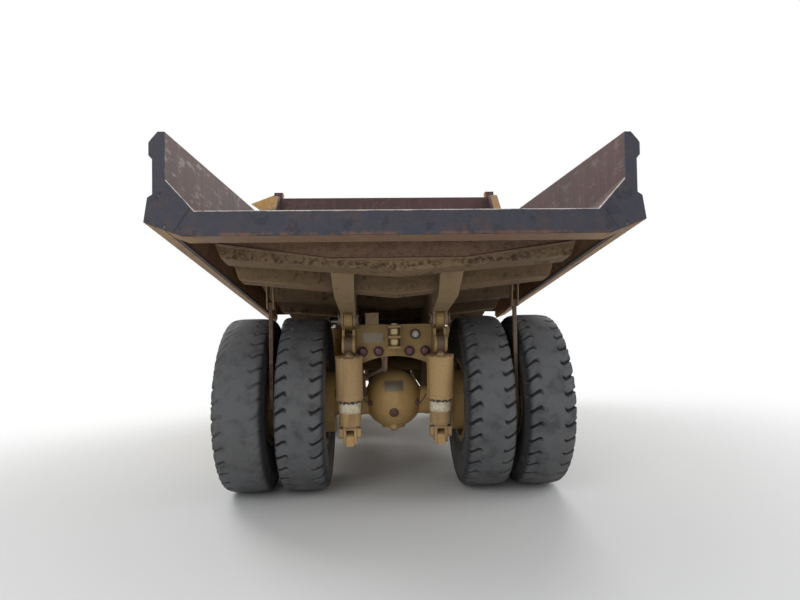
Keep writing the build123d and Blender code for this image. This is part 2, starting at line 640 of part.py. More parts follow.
def body_side():
    """The left side wall with its rails and ribs."""
    front_floor = floor_z(FRONT_WALL_LOW_Y)
    plate = side_plate([
        (TAIL_Y, FLOOR_TAIL_Z - 100), (TAIL_Y, WALL_TOP_Z), (-100, WALL_TOP_Z),
        (-640, FRONT_WALL_TOP_Z), (FRONT_WALL_TOP_Y, FRONT_WALL_TOP_Z),
        (FRONT_WALL_LOW_Y, front_floor), (FRONT_WALL_LOW_Y, front_floor - 100)], WALL_IN, WALL_OUT)
    rail_x = (WALL_OUT - 2, TOP_RAIL_OUT)
    low, top = WALL_TOP_Z - TOP_RAIL_HEIGHT, WALL_TOP_Z
    top_rail = end_plate([(rail_x[0], top), (TOP_RAIL_OUT - 65, top), (TOP_RAIL_OUT - 18, top - 55),
                          (TOP_RAIL_OUT, top - 80), (TOP_RAIL_OUT, low + 40), (TOP_RAIL_OUT - 35, low),
                          (rail_x[0], low)], -100, TAIL_Y)
    ramp = side_plate([(-60, 3010), (-100, WALL_TOP_Z), (-640, FRONT_WALL_TOP_Z),
                       (FRONT_WALL_TOP_Y + 5, FRONT_WALL_TOP_Z), (-765, 3640), (-180, 3030)], *rail_x)
    low_rail = along_floor([(WALL_OUT - 2, 120), (1765, 120), (1801, 96), (LOW_RAIL_HALF, -80),
                            (WALL_OUT - 2, -131)], TAIL_Y, FRONT_WALL_LOW_Y)
    ribs = [block((WALL_OUT - 2, 1765), (y - 50, y + 50), (floor_z(y) + 60, WALL_TOP_Z - 100))
            for y in (TAIL_Y - 50, *[TAIL_Y - 775 - 750 * k for k in range(5)])]
    return joined(plate, top_rail, ramp, low_rail, *ribs)


def front_face_y(z):
    """The front wall's front face at a height."""
    low_z = floor_z(FRONT_WALL_LOW_Y)
    lean = (FRONT_WALL_TOP_Y - FRONT_WALL_LOW_Y) / (FRONT_WALL_TOP_Z - low_z)
    return FRONT_WALL_LOW_Y - FRONT_WALL_THICKNESS + lean * (z - low_z)


def leaning_beam(x0, x1, z0, z1, depth):
    """A bar on the front wall's front face."""
    y0, y1 = front_face_y(z0) + 2, front_face_y(z1) + 2
    return side_plate([(y0, z0), (y0 - depth, z0), (y1 - depth, z1), (y1, z1)], x0, x1)


def top_beam():
    """The beam along the front wall's top edge."""
    return leaning_beam(-1645, 1645, 3600, FRONT_WALL_TOP_Z, POST_DEPTH)


def end_posts():
    """The posts at the front wall's two ends."""
    return both_sides(leaning_beam(1640, CANOPY_HALF, 2000, POST_TOP_Z, POST_DEPTH))


def body_front_wall():
    """The leaning front wall with its beams and end posts."""
    low_z = floor_z(FRONT_WALL_LOW_Y)
    t = FRONT_WALL_THICKNESS
    plate = side_plate([
        (FRONT_WALL_LOW_Y, low_z - FLOOR_THICKNESS), (FRONT_WALL_LOW_Y, low_z),
        (FRONT_WALL_TOP_Y, FRONT_WALL_TOP_Z), (FRONT_WALL_TOP_Y - t, FRONT_WALL_TOP_Z),
        (FRONT_WALL_LOW_Y - t, low_z), (FRONT_WALL_LOW_Y - t, low_z - FLOOR_THICKNESS)],
        -WALL_OUT, WALL_OUT)
    beams = [leaning_beam(-1645, 1645, z, z + 110, 90) for z in (2050, 2550, 3050)]
    return joined(plate, *beams, top_beam(), *end_posts())


def canopy_line(y):
    """How much the canopy has risen at a place ahead of the front wall."""
    start = front_face_y(FRONT_WALL_TOP_Z) - POST_DEPTH
    return CANOPY_RISE * (start - y) / (start - CANOPY_FRONT_Y)


def body_canopy():
    """The canopy over the cab, with ribs below it and a pointed wing on the cab's side."""
    start = front_face_y(FRONT_WALL_TOP_Z) - POST_DEPTH + 20
    slope = (canopy_line(CANOPY_FRONT_Y) - canopy_line(start)) / (CANOPY_FRONT_Y - start)

    def strip(points, y0=start, y1=CANOPY_FRONT_Y):
        return end_plate([(x, z + canopy_line(y0)) for x, z in points], y0, y1, slope)

    def bar(x0, x1, z0, z1, **place):
        return strip([(x0, z0), (x1, z0), (x1, z1), (x0, z1)], **place)

    plate = bar(-CANOPY_HALF, CANOPY_HALF, 3750, FRONT_WALL_TOP_Z)
    ribs = [bar(x - 40, x + 40, 3660, 3755) for x in (-1200, -400, 400, 1200)]
    edges = [bar(-CANOPY_HALF, -CANOPY_HALF + 60, 3650, FRONT_WALL_TOP_Z),
             bar(-CANOPY_HALF, CANOPY_HALF, 3650, 3755, y0=CANOPY_FRONT_Y + 90)]
    wing = strip([(CANOPY_HALF - 40, 3650), (CANOPY_HALF - 40, POST_TOP_Z - 10),
                  (CANOPY_HALF, POST_TOP_Z - 10), (CANOPY_WING_X, 3712), (1940, 3650)])
    return joined(plate, *ribs, *edges, wing) - top_beam() - joined(*end_posts())


def ejector_brackets():
    """Two plates and a pin on each side that an ejector bar hangs from."""
    half = EJECTOR_WIDTH / 2 + MOVE_GAP
    plates = []
    for side in (1, -1):
        x = sorted(EJECTOR_X + side * (half + step) for step in (0, 12))
        plates.append(side_plate([
            (EJECTOR_Y - 90, under_floor(EJECTOR_Y - 90)), (EJECTOR_Y - 40, EJECTOR_Z - 45),
            (EJECTOR_Y + 40, EJECTOR_Z - 45), (EJECTOR_Y + 90, under_floor(EJECTOR_Y + 90))], *x))
    pin = cross_rod(EJECTOR_Y, EJECTOR_Z, EJECTOR_X - half - 5, EJECTOR_X + half + 5, 14)
    return joined(*plates, pin)


def hoist_bracket():
    """Two ears under the floor, either side of a hoist rod's eye."""
    y, z = HOIST_TOP
    ears = []
    for side in (1, -1):
        near = HOIST_EYE_WIDTH / 2 + MOVE_GAP
        x = sorted(HOIST_X + side * (near + step) for step in (0, 22))
        boss = sorted(HOIST_X + side * (near + step) for step in (10, 46))
        ears.append(joined(side_plate([(y - 160, under_floor(y - 160)), (y - 70, z - 60), (y + 70, z - 60),
                                       (y + 160, under_floor(y + 160))], *x), cross_rod(y, z, *boss, 45)))
    return ears


def hinge_arm():
    """A long beam under the floor whose rear end straddles the frame's hinge lug."""
    gap = MOVE_GAP
    ends = (FRONT_WALL_LOW_Y + 50, HINGE_Y + 60)
    notch = HINGE_Z + 95
    bottom = [(ends[0], RAIL_MID_TOP_Z - 20 + gap), (RAIL_STEP_Y[1], RAIL_MID_TOP_Z + gap),
              (REAR_AXLE_Y - 350, RAIL_REAR_TOP_Z - 40 + gap), (HINGE_Y - 260, RAIL_REAR_TOP_Z + gap),
              (HINGE_Y - 100, notch), (ends[1], notch)]
    top = [(y, under_floor(y)) for y in reversed(ends)]
    beam = side_plate(bottom + top, RAIL_IN, RAIL_OUT)
    cheeks = []
    for side in (1, -1):
        x = sorted(STRUT_X + side * step for step in (LUG_WIDTH / 2 + MOVE_GAP, RAIL_WIDTH / 2))
        cheeks.append(joined(block(x, (HINGE_Y - 70, HINGE_Y + 60), (HINGE_Z, notch + 20)),
                             cross_rod(HINGE_Y, HINGE_Z, *x, 70)))
    flange_top = under_floor(ends[1] - 2)
    flange = end_plate([(STRUT_X - 105, flange_top), (STRUT_X + 105, flange_top), (STRUT_X + 72, notch - 15),
                        (STRUT_X - 72, notch - 15)], ends[1] - 2, ends[1] + ARM_PLATE)
    pin = cross_rod(HINGE_Y, HINGE_Z, RAIL_IN - 12, RAIL_OUT + 12, HINGE_PIN_RADIUS)
    return [beam, *cheeks, flange, pin]


def arm_tail():
    """A beam from a hinge arm's end back to the rearmost cross beam, rising as it goes."""
    front, rear = HINGE_Y + 60 + ARM_PLATE + SEAT_GAP, REAR_BEAM_FRONT_Y - SEAT_GAP
    bottom = [(front, HINGE_Z + 85), (rear - 310, HINGE_Z + 215), (rear, HINGE_Z + 440)]
    return side_plate(bottom + [(y, under_floor(y)) for y in (rear, front)], RAIL_IN, RAIL_OUT)


def body_cross_beams():
    """Five cross beams under the floor, deepest in the middle; the hinge arms run through the front four."""
    # rear edge, front edge, depth at the middle, depth at the ends
    beams = [(TAIL_Y - 355, REAR_BEAM_FRONT_Y, 365, 255), (TAIL_Y - 915, TAIL_Y - 1115, 437, 292),
             (HINGE_Y - 700, HINGE_Y - 880, 330, 200), (HINGE_Y - 1600, HINGE_Y - 1760, 330, 200),
             (HINGE_Y - 2500, HINGE_Y - 2660, 300, 180)]
    pieces = []
    for rear, front, middle, end in beams:
        half = [(0, -middle), (1380, -end), (FLOOR_HALF, -FLOOR_THICKNESS)]
        outline = [(0, -middle)] + half[1:] + [(-x, up) for x, up in reversed(half[1:])]
        pieces.append(along_floor(outline, rear, front))
    return group(*pieces) - both_sides(block((RAIL_IN, RAIL_OUT), (FRONT_WALL_LOW_Y, REAR_BEAM_FRONT_Y - 20),
                                             (HINGE_Z - 500, FLOOR_TAIL_Z)))


def body_underframe():
    """Hinge arms, hoist brackets and ejector brackets under the floor."""
    return group(*both_sides(joined(*hinge_arm()), arm_tail(), *hoist_bracket(), ejector_brackets()))


def ejector_bar():
    """The left rock ejector bar, hanging from its eye."""
    x = (EJECTOR_X - EJECTOR_WIDTH / 2, EJECTOR_X + EJECTOR_WIDTH / 2)
    bar = block(x, (EJECTOR_Y - 25, EJECTOR_Y + 25), (EJECTOR_LOW_Z, EJECTOR_Z))
    eye = cross_rod(EJECTOR_Y, EJECTOR_Z, *x, 34)
    return joined(bar, eye) - cross_rod(EJECTOR_Y, EJECTOR_Z, x[0] - 1, x[1] + 1, 14 + SPIN_GAP)


# Hoist

def hoist_point(distance):
    """A point on the left hoist cylinder's line, from its base pin."""
    (y0, z0), (y1, z1) = HOIST_BASE, HOIST_TOP
    length = hypot(y1 - y0, z1 - z0)
    return (HOIST_X, y0 + (y1 - y0) * distance / length, z0 + (z1 - z0) * distance / length)


def hoist_tube(start, end, radius, bore, bore_start):
    """A tube on the hoist's line, with a blind bore from its top."""
    return rod(hoist_point(start), hoist_point(end), radius) - \
        rod(hoist_point(bore_start), hoist_point(end + 1), bore)


def hoist_barrel():
    """The barrel with its base eye on the frame's pin."""
    tube = hoist_tube(70, BARREL_END, BARREL_RADIUS, STAGE_RADIUS + SPIN_GAP, 125)
    eye = cross_rod(*HOIST_BASE, HOIST_X - 45, HOIST_X + 45, 78)
    pin = cross_rod(*HOIST_BASE, HOIST_X - 100, HOIST_X + 100, HOIST_PIN_RADIUS + SPIN_GAP)
    return joined(tube, eye) - pin


def hoist_stage():
    """The first telescoping stage."""
    return hoist_tube(130, STAGE_END, STAGE_RADIUS, ROD_RADIUS + SPIN_GAP, 145)


def hoist_rod():
    """The inner rod with its top eye."""
    y, z = HOIST_TOP
    length = hypot(y - HOIST_BASE[0], z - HOIST_BASE[1])
    shaft = rod(hoist_point(150), hoist_point(length - 30), ROD_RADIUS)
    half = HOIST_EYE_WIDTH / 2
    eye = cross_rod(y, z, HOIST_X - half, HOIST_X + half, 66)
    bore = cross_rod(y, z, HOIST_X - half - 1, HOIST_X + half + 1, 30)
    stem = shaft & block((HOIST_X - 100, HOIST_X + 100), (0, 1500), (0, z - 40))
    return joined(stem, eye) - bore


# Steering

def steering_knuckle():
    """The left knuckle: strut rod, spindle and steering arms."""
    y = FRONT_AXLE_Y
    body = block((KINGPIN_X - 80, KINGPIN_X + 90), (y - 110, y + 110), (700, 1040))
    strut = rod((KINGPIN_X, y, 900), (KINGPIN_X, y, 1300), STRUT_TUBE_RADIUS)
    spindle = cross_rod(y, AXLE_Z, KINGPIN_X + 80, 1540, 90)
    plate = (LINK_Z - 62, LINK_Z - 37)
    rear_pin = (KINGPIN_X, y + CYLINDER_ARM)
    tie_pin = (KINGPIN_X + TIE_ARM[0], y + TIE_ARM[1])
    rear_arm = joined(block((KINGPIN_X - 50, KINGPIN_X + 50), (y + 100, rear_pin[1]), plate),
                      rod((*rear_pin, plate[0]), (*rear_pin, plate[1]), 50))
    front_arm = joined(
        top_plate([(KINGPIN_X - 70, y - 100), (KINGPIN_X + 40, y - 100), (tie_pin[0] + 40, tie_pin[1]),
                   (tie_pin[0] - 40, tie_pin[1])], *plate),
        rod((*tie_pin, plate[0]), (*tie_pin, plate[1]), 45))
    return joined(body, strut, spindle, rear_arm, front_arm)


def tie_pin(side):
    """The pin on a knuckle's front arm, in the tie rod's eye."""
    x, y = side * (KINGPIN_X + TIE_ARM[0]), FRONT_AXLE_Y + TIE_ARM[1]
    return rod((x, y, LINK_Z - 45), (x, y, LINK_Z + 34), LINK_PIN_RADIUS)


def tie_rod():
    """The rod that joins the knuckles' front arms."""
    x, y = KINGPIN_X + TIE_ARM[0], FRONT_AXLE_Y + TIE_ARM[1]
    bar = rod((-x + 25, y, LINK_Z), (x - 25, y, LINK_Z), 26)
    eyes = [rod((side * x, y, LINK_Z - 30), (side * x, y, LINK_Z + 30), 38) for side in (1, -1)]
    bores = [rod((side * x, y, LINK_Z - 40), (side * x, y, LINK_Z + 40), LINK_PIN_RADIUS + SPIN_GAP)
             for side in (1, -1)]
    return joined(bar, *eyes) - bores[0] - bores[1]


def steer_point(distance):
    """A point on the left steering cylinder's line, from its base pin."""
    (x0, y0), (x1, y1) = STEER_BASE, (KINGPIN_X, FRONT_AXLE_Y + CYLINDER_ARM)
    length = hypot(x1 - x0, y1 - y0)
    return (x0 + (x1 - x0) * distance / length, y0 + (y1 - y0) * distance / length, LINK_Z)


def steer_barrel():
    """The left steering cylinder's barrel on the frame's pin."""
    tube = rod(steer_point(40), steer_point(600), STEER_BARREL_RADIUS) - \
        rod(steer_point(95), steer_point(601), STEER_ROD_RADIUS + SPIN_GAP)
    x, y, z = steer_point(0)
    eye = rod((x, y, z - 30), (x, y, z + 30), 45)
    return joined(tube, eye) - rod((x, y, z - 60), (x, y, z + 60), LINK_PIN_RADIUS + SPIN_GAP)


def steer_rod():
    """The left steering cylinder's rod with its open eye over the knuckle's rear arm."""
    x, y = KINGPIN_X, FRONT_AXLE_Y + CYLINDER_ARM
    length = hypot(x - STEER_BASE[0], y - STEER_BASE[1])
    shaft = rod(steer_point(260), steer_point(length - 30), STEER_ROD_RADIUS)
    eye = rod((x, y, LINK_Z - 30), (x, y, LINK_Z + 30), 45)
    return joined(shaft, eye) - rod((x, y, LINK_Z - 40), (x, y, LINK_Z + 40), 20)


# Wheels

def tread_notches(x, axle_y):
    """V-shaped cuts that leave the lugs along both shoulders, one to each flat of the tyre."""
    cuts = []
    for side in (1, -1):
        start = x + side * (SIDEWALL_WIDTH / 2 + 5)
        reach = SIDEWALL_WIDTH / 2 + 5 - TREAD_WIDTH / 2 + NOTCH_REACH
        points = [(-NOTCH_WIDTH / 2, 2), (NOTCH_WIDTH / 2, 2), (0, -NOTCH_DEPTH)]
        face = Face(Wire.make_polygon([Vector(start, y - NOTCH_SKEW / 2, TYRE_RADIUS + up)
                                       for y, up in points]))
        cut = Solid.extrude(face, Vector(-side * reach, NOTCH_SKEW, 0))
        cuts += [Pos(0, axle_y, AXLE_Z) * Rot(360 * k / TYRE_SIDES, 0, 0) * cut for k in range(TYRE_SIDES)]
    return cuts


def tyre_ring(x, axle_y):
    """A plain tyre about a cross axis, all of flat facets, the middles of its bore's flats on the rim."""
    tread, sidewall, bead = TREAD_WIDTH / 2, SIDEWALL_WIDTH / 2, BEAD_WIDTH / 2
    to_corner = 1 / cos(pi / TYRE_SIDES)
    # side offset, radius
    half = [(bead, (RIM_RADIUS + SEAT_GAP) * to_corner), (bead, RIM_RADIUS + 60), (sidewall, 690),
            (tread, TYRE_RADIUS - 60), (tread - TREAD_CHAMFER, TYRE_RADIUS * to_corner)]
    section = [(-dx, radius) for dx, radius in half] + [(dx, radius) for dx, radius in reversed(half)]

    def corner(turn, place):
        dx, radius = section[place % len(section)]
        angle = 2 * pi * (turn + 0.5) / TYRE_SIDES
        return Vector(x + dx, axle_y + radius * cos(angle), AXLE_Z + radius * sin(angle))

    facets = [Face(Wire.make_polygon([corner(turn, place), corner(turn + 1, place),
                                      corner(turn + 1, place + 1), corner(turn, place + 1)]))
              for turn in range(TYRE_SIDES) for place in range(len(section))]
    return Solid(Shell(facets)) - tread_notches(x, axle_y)


def rim_barrel(x, axle_y):
    """One rim with its flanges, for a tyre centred at x."""
    barrel = cross_ring(axle_y, AXLE_Z, x - RIM_HALF, x + RIM_HALF, RIM_RADIUS, RIM_RADIUS - RIM_WALL)
    flanges = []
    for side in (1, -1):
        edges = sorted(x + side * (RIM_HALF - step) for step in (0, FLANGE_THICKNESS - SEAT_GAP))
        flanges.append(cross_ring(axle_y, AXLE_Z, *edges, RIM_RADIUS + FLANGE_HEIGHT, RIM_RADIUS - 10))
    return joined(barrel, *flanges)


def front_rim():
    """The left front rim with its disc and hub on the spindle."""
    y, x = FRONT_AXLE_Y, FRONT_WHEEL_X
    disc = cross_ring(y, AXLE_Z, x + 20, x + 60, RIM_RADIUS - 15, 150)
    hub = cross_rod(y, AXLE_Z, x - 210, x + 110, 170)
    bore = cross_rod(y, AXLE_Z, x - 220, x, 90 + SPIN_GAP)
    return joined(rim_barrel(x, y), disc, hub) - bore


def rear_rims():
    """The left twin rims with their spacer, disc and final drive hub."""
    y, inner = REAR_AXLE_Y, DUAL_INNER_X
    outer = inner + DUAL_SPACING
    middle = (inner + outer) / 2
    inside = RIM_RADIUS - RIM_WALL
    band = cross_ring(y, AXLE_Z, middle - 135, middle + 135, inside - 24, inside - 44)
    collars = [cross_ring(y, AXLE_Z, *sorted(middle + side * step for step in (95, 135)), inside + 2,
                          inside - 30) for side in (1, -1)]
    disc = cross_ring(y, AXLE_Z, middle - 20, middle + 20, inside - 40, 150)
    hub = cross_rod(y, AXLE_Z, middle - 90, outer + 50, 200)
    cover = cross_rod(y, AXLE_Z, outer + 30, outer + 130, 235)
    bore = cross_rod(y, AXLE_Z, middle - 100, 1565, 118 + SPIN_GAP)
    rims = [rim_barrel(x, y) for x in (inner, outer)]
    return joined(*rims, band, *collars, disc, hub, cover) - bore


rear_tyres = [tyre_ring(DUAL_INNER_X + k * DUAL_SPACING, REAR_AXLE_Y) for k in (0, 1)]
front_tyre = tyre_ring(FRONT_WHEEL_X, FRONT_AXLE_Y)

NODES = {
    "main_frame": main_frame(),
    "steering_beam": steering_beam(),
    "tow_hitch": tow_hitch(),
    "front_bumper": front_bumper(),
    "engine_block": engine_block(),
    "transmission": transmission(),
    "drive_shaft": drive_shaft(),
    "rear_axle_housing": rear_axle_housing(),
    "axle_a_frame": axle_a_frame(),
    "rear_strut_cylinders": rear_strut_cylinders(),
    "rear_strut_rods": rear_strut_rods(),
    "front_strut_cylinders": front_strut_cylinders(),
    "fuel_tank": tank(950, 1740, (-560, 640), (760, 1500), 110),
    "hydraulic_tank": tank(-1480, -950, (-420, 560), (800, 1480), 90),
    "tail_lamps": tail_lamps(),
    "radiator_grille": radiator_grille(),
    "engine_hood": engine_hood(),
    "decks": decks(),
    "cab_shell": cab_shell(),
    "cab_windows": cab_windows(),
    "operator_seat": operator_seat(),
    "dashboard": dashboard(),
    "cab_door": cab_door(),
    "cab_door_window": cab_door_window(),
    "ladders_and_handrails": ladders_and_handrails(),
    "mirrors": mirrors(),
    "headlamps": headlamps(),
    "air_cleaners": air_cleaners(),
    "battery_box": battery_box(),
    "body_floor": body_floor(),
    "body_side_left": body_side(),
    "body_side_right": mirrored(body_side()),
    "body_front_wall": body_front_wall(),
    "body_canopy": body_canopy(),
    "body_cross_beams": body_cross_beams(),
    "body_underframe": body_underframe(),
    "tie_rod": tie_rod(),
    "knuckle_left": joined(steering_knuckle(), tie_pin(1)),
    "knuckle_right": joined(mirrored(steering_knuckle()), tie_pin(-1)),
    "tyre_front_left": front_tyre,
    "tyre_front_right": mirrored(front_tyre),
    "tyres_rear_left": group(*rear_tyres),
    "tyres_rear_right": mirrored(group(*rear_tyres)),
}
PAIRS = {
    "ejector_bar": ejector_bar(),
    "hoist_barrel": hoist_barrel(),
    "hoist_stage": hoist_stage(),
    "hoist_rod": hoist_rod(),
    "steer_barrel": steer_barrel(),
    "steer_rod": steer_rod(),
    "rim_front": front_rim(),
    "rims_rear": rear_rims(),
}
for name, shape in PAIRS.items():
    NODES[name + "_left"] = shape
    NODES[name + "_right"] = mirrored(shape)

os.makedirs("parts", exist_ok=True)
for name, shape in NODES.items():
    export_step(group(shape), f"parts/{name}.step")
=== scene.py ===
"""The looks of an off-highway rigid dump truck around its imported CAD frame.

Metres, the truck facing -Y, its cab side +X, the ground at z = 0.
"""
import json
import math

import bmesh
import bpy
import numpy as np
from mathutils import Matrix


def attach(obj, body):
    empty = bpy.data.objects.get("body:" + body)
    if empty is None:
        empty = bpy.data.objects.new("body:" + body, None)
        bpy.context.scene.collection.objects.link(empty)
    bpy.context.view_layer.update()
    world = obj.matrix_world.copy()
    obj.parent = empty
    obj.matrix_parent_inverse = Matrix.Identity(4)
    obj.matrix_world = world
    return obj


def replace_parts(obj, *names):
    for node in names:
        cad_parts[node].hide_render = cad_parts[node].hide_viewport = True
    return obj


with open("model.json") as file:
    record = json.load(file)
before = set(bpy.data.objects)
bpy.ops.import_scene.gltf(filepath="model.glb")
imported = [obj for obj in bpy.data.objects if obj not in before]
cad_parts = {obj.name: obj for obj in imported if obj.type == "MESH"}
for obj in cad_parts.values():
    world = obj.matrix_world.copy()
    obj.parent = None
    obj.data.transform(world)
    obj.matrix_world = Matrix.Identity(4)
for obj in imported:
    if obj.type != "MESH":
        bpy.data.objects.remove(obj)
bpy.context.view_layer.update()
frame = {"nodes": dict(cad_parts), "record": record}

# Camera. It stands 4 m behind the tail, a little to the truck's left, with its eye 1.9 m above
# the ground, and looks forward along the truck.

UP, BACK, FRONT, LEFT, RIGHT = (0, 0, 1), (0, 1, 0), (0, -1, 0), (1, 0, 0), (-1, 0, 0)
PHOTO_WIDTH_PX = 800
FOCAL_PX = 551.2
SENSOR_MM = 36.0
EYE = np.array((0.197, 8.050, 1.890))
EYE_YAW, EYE_PITCH, EYE_ROLL = np.radians((-2.673, 1.464, -0.915))


def placed(name, data):
    """A new object in the scene."""
    made = bpy.data.objects.new(name, data)
    bpy.context.scene.collection.objects.link(made)
    return made


def unit(vectors):
    """Vectors brought to a length of 1."""
    return vectors / np.linalg.norm(vectors, axis=-1, keepdims=True)


def looking(place, ahead, roll=0.0):
    """The pose of a camera or lamp that looks ahead from a place, upright but for a roll."""
    level = unit(np.cross(ahead, UP))
    upright = np.cross(level, ahead)
    pose = np.eye(4)
    pose[:3, 0] = level * math.cos(roll) + upright * math.sin(roll)
    pose[:3, 1] = upright * math.cos(roll) - level * math.sin(roll)
    pose[:3, 2], pose[:3, 3] = -ahead, place
    return pose.T


camera = placed("camera", bpy.data.cameras.new("camera"))
camera.data.sensor_width = SENSOR_MM
camera.data.lens = FOCAL_PX * SENSOR_MM / PHOTO_WIDTH_PX
camera.data.clip_start, camera.data.clip_end = 0.1, 200.0
ahead = np.array((math.sin(EYE_YAW) * math.cos(EYE_PITCH), -math.cos(EYE_YAW) * math.cos(EYE_PITCH),
                  math.sin(EYE_PITCH)))
camera.matrix_world = looking(EYE, ahead, EYE_ROLL)
bpy.context.scene.camera = camera
bpy.context.scene.view_settings.view_transform = "Standard"


# Floor and light. The truck stands on a pale studio floor under four large soft lamps, with a
# plain pale sky all round. The floor turns white far off and can be looked through from below.

def dye(red, green, blue):
    """A colour as a screen shows it, 0 to 255, turned into the light it stands for."""
    return (*(((v / 255 + 0.055) / 1.055) ** 2.4 for v in (red, green, blue)), 1.0)


class Tone:
    """One value or colour in a material. Python arithmetic on it adds Math nodes."""

    def __init__(self, paint, socket):
        self.paint, self.socket = paint, socket

    def __add__(self, other):
        return self.paint.maths("ADD", self, other)

    def __sub__(self, other):
        return self.paint.maths("SUBTRACT", self, other)

    def __rsub__(self, other):
        return self.paint.maths("SUBTRACT", other, self)

    def __mul__(self, other):
        return self.paint.maths("MULTIPLY", self, other)

    def __truediv__(self, other):
        return self.paint.maths("DIVIDE", self, other)

    def __pow__(self, other):
        return self.paint.maths("POWER", self, other)

    __radd__, __rmul__ = __add__, __mul__

    def between(self, low, high):
        """0 below low, 1 above high and a smooth rise from one to the other."""
        return self.paint.node("MapRange", {"interpolation_type": "SMOOTHSTEP"},
                               {"Value": self, "From Min": low, "From Max": high})


class Paint:
    """A material, or the sky, made of nodes round one shader."""

    def __init__(self, name, kind="BsdfPrincipled", home=bpy.data.materials, end="OutputMaterial", **values):
        self.material = home.new(name)
        self.material.use_nodes = True
        self.tree = self.material.node_tree
        self.tree.nodes.clear()
        self.end = self.tree.nodes.new("ShaderNode" + end)
        self.shader = self.tree.nodes.new("ShaderNode" + kind)
        self.tree.links.new(self.shader.outputs[0], self.end.inputs[0])
        for key, value in values.items():
            self.give(self.shader, self.label(key), value)

    @staticmethod
    def label(key):
        """A socket's name from a plain word."""
        return key.replace("_", " ").title().replace("Ior", "IOR")

    def give(self, node, key, value):
        """Sets or links one socket of a node. A colour may be given as a screen shows it."""
        socket = node.inputs[key]
        if isinstance(value, Tone):
            self.tree.links.new(value.socket, socket)
        elif socket.type == "RGBA" and len(value) == 3:
            socket.default_value = dye(*value)
        else:
            socket.default_value = value

    def node(self, kind, settings=None, values=None, out=0):
        """Any shader node: its settings first, then its sockets' values or links."""
        made = self.tree.nodes.new("ShaderNode" + kind)
        for key, value in (settings or {}).items():
            setattr(made, key, value)
        for key, value in (values or {}).items():
            self.give(made, key, value)
        return Tone(self, made.outputs[out])

    def maths(self, operation, *values):
        """A Math node on values and tones."""
        return self.node("Math", {"operation": operation}, dict(enumerate(values)))

    def place(self):
        """Where the surface is, in metres."""
        return self.node("TexCoord", out="Object")

    def axes(self, vector):
        """The x, y and z of a vector."""
        return [self.node("SeparateXYZ", {}, {0: vector}, out=k) for k in range(3)]

    def noise(self, scale, detail=4.0, rough=0.6, stretch=(1.0, 1.0, 1.0), shift=0.0):
        """Fractal noise from 0 to 1, so many lumps a metre; a small stretch draws it out along an axis."""
        spot = self.node("Mapping", {}, {"Vector": self.place(), "Scale": stretch, "Location": (shift,) * 3})
        values = {"Vector": spot, "Scale": scale, "Detail": detail, "Roughness": rough}
        return self.node("TexNoise", {}, values)

    def mix(self, share, first, second):
        """The first colour turned into the second by a share."""
        return self.node("Mix", {"data_type": "RGBA"}, {0: share, 6: first, 7: second}, out=2)

    def facing(self):
        """The surface's own direction."""
        return self.node("NewGeometry", out="Normal")

    def corner(self, radius):
        """0 on a flat face, rising towards 1 at its edges and corners."""
        rounded = self.node("Bevel", {"samples": 3}, {"Radius": radius})
        values = {0: self.facing(), 1: rounded}
        return 1 - self.node("VectorMath", {"operation": "DOT_PRODUCT"}, values, out="Value")

    def bump(self, height, depth, strength=1.0):
        """Small relief: a height of 1 is so many metres."""
        values = {"Height": height, "Distance": depth, "Strength": strength}
        return self.put(normal=self.node("Bump", {}, values))

    def put(self, **tones):
        """Links tones to the shader's sockets and gives the material."""
        for key, tone in tones.items():
            self.give(self.shader, self.label(key), tone)
        return self.material

    def over(self, share, shader):
        """Lays another shader over what the material shows so far, by a share."""
        below = Tone(self, self.end.inputs[0].links[0].from_socket)
        self.give(self.end, 0, self.node("MixShader", {}, {0: share, 1: below, 2: shader}))


GROUND_HALF = 60.0
pale = Paint("floor_pale", base_color=(206, 206, 204), roughness=0.9)
x, y, z = pale.axes(pale.place())
distance = (x * x + y * y) ** 0.5
far = distance.between(4.0, 9.5) * pale.node("LightPath", out="Is Camera Ray")
pale.over(far, pale.node("Emission", {}, {"Color": (255, 255, 255), "Strength": 1.0}))
pale.over(pale.node("NewGeometry", out="Backfacing"), pale.node("BsdfTransparent"))
floor_mesh = bpy.data.meshes.new("floor")
ground_corners = [(x * GROUND_HALF, y * GROUND_HALF, 0) for x, y in ((-1, -1), (1, -1), (1, 1), (-1, 1))]
floor_mesh.from_pydata(ground_corners, [], [(0, 1, 2, 3)])
floor_mesh.materials.append(pale.material)
placed("floor", floor_mesh)

LAMP_AIM = np.array((0.0, 0.0, 1.6))
# place, side length, watts
for k, (place, size, watts) in enumerate((
        ((5.0, 12.0, 7.0), 7.0, 420), ((-10.0, 5.0, 7.0), 7.0, 420), ((9.0, -6.0, 9.0), 6.0, 1100),
        ((-6.0, -10.0, 9.0), 6.0, 1000))):
    lamp = bpy.data.lights.new(f"soft_lamp_{k}", "AREA")
    lamp.size, lamp.energy = size, watts
    placed(lamp.name, lamp).matrix_world = looking(place, unit(LAMP_AIM - place))

SKY_LIGHT = 0.62
sky = Paint("sky", "Background", bpy.data.worlds, "OutputWorld", color=(0.93, 0.96, 1.0, 1.0),
            strength=SKY_LIGHT)
seen = sky.node("LightPath", out="Is Camera Ray")
for kind in ("Is Glossy Ray", "Is Transmission Ray"):
    seen = sky.maths("MAXIMUM", seen, sky.node("LightPath", out=kind))
sky.over(seen, sky.node("Background", {}, {"Color": (255, 255, 255), "Strength": 1.0}))
bpy.context.scene.world = sky.material


# Tyres. Six rock tyres with a smooth centre and short hooked grooves cut in from both shoulders,
# black rubber gone grey with dust. Each is moulded round two steel beads that grip the rim.

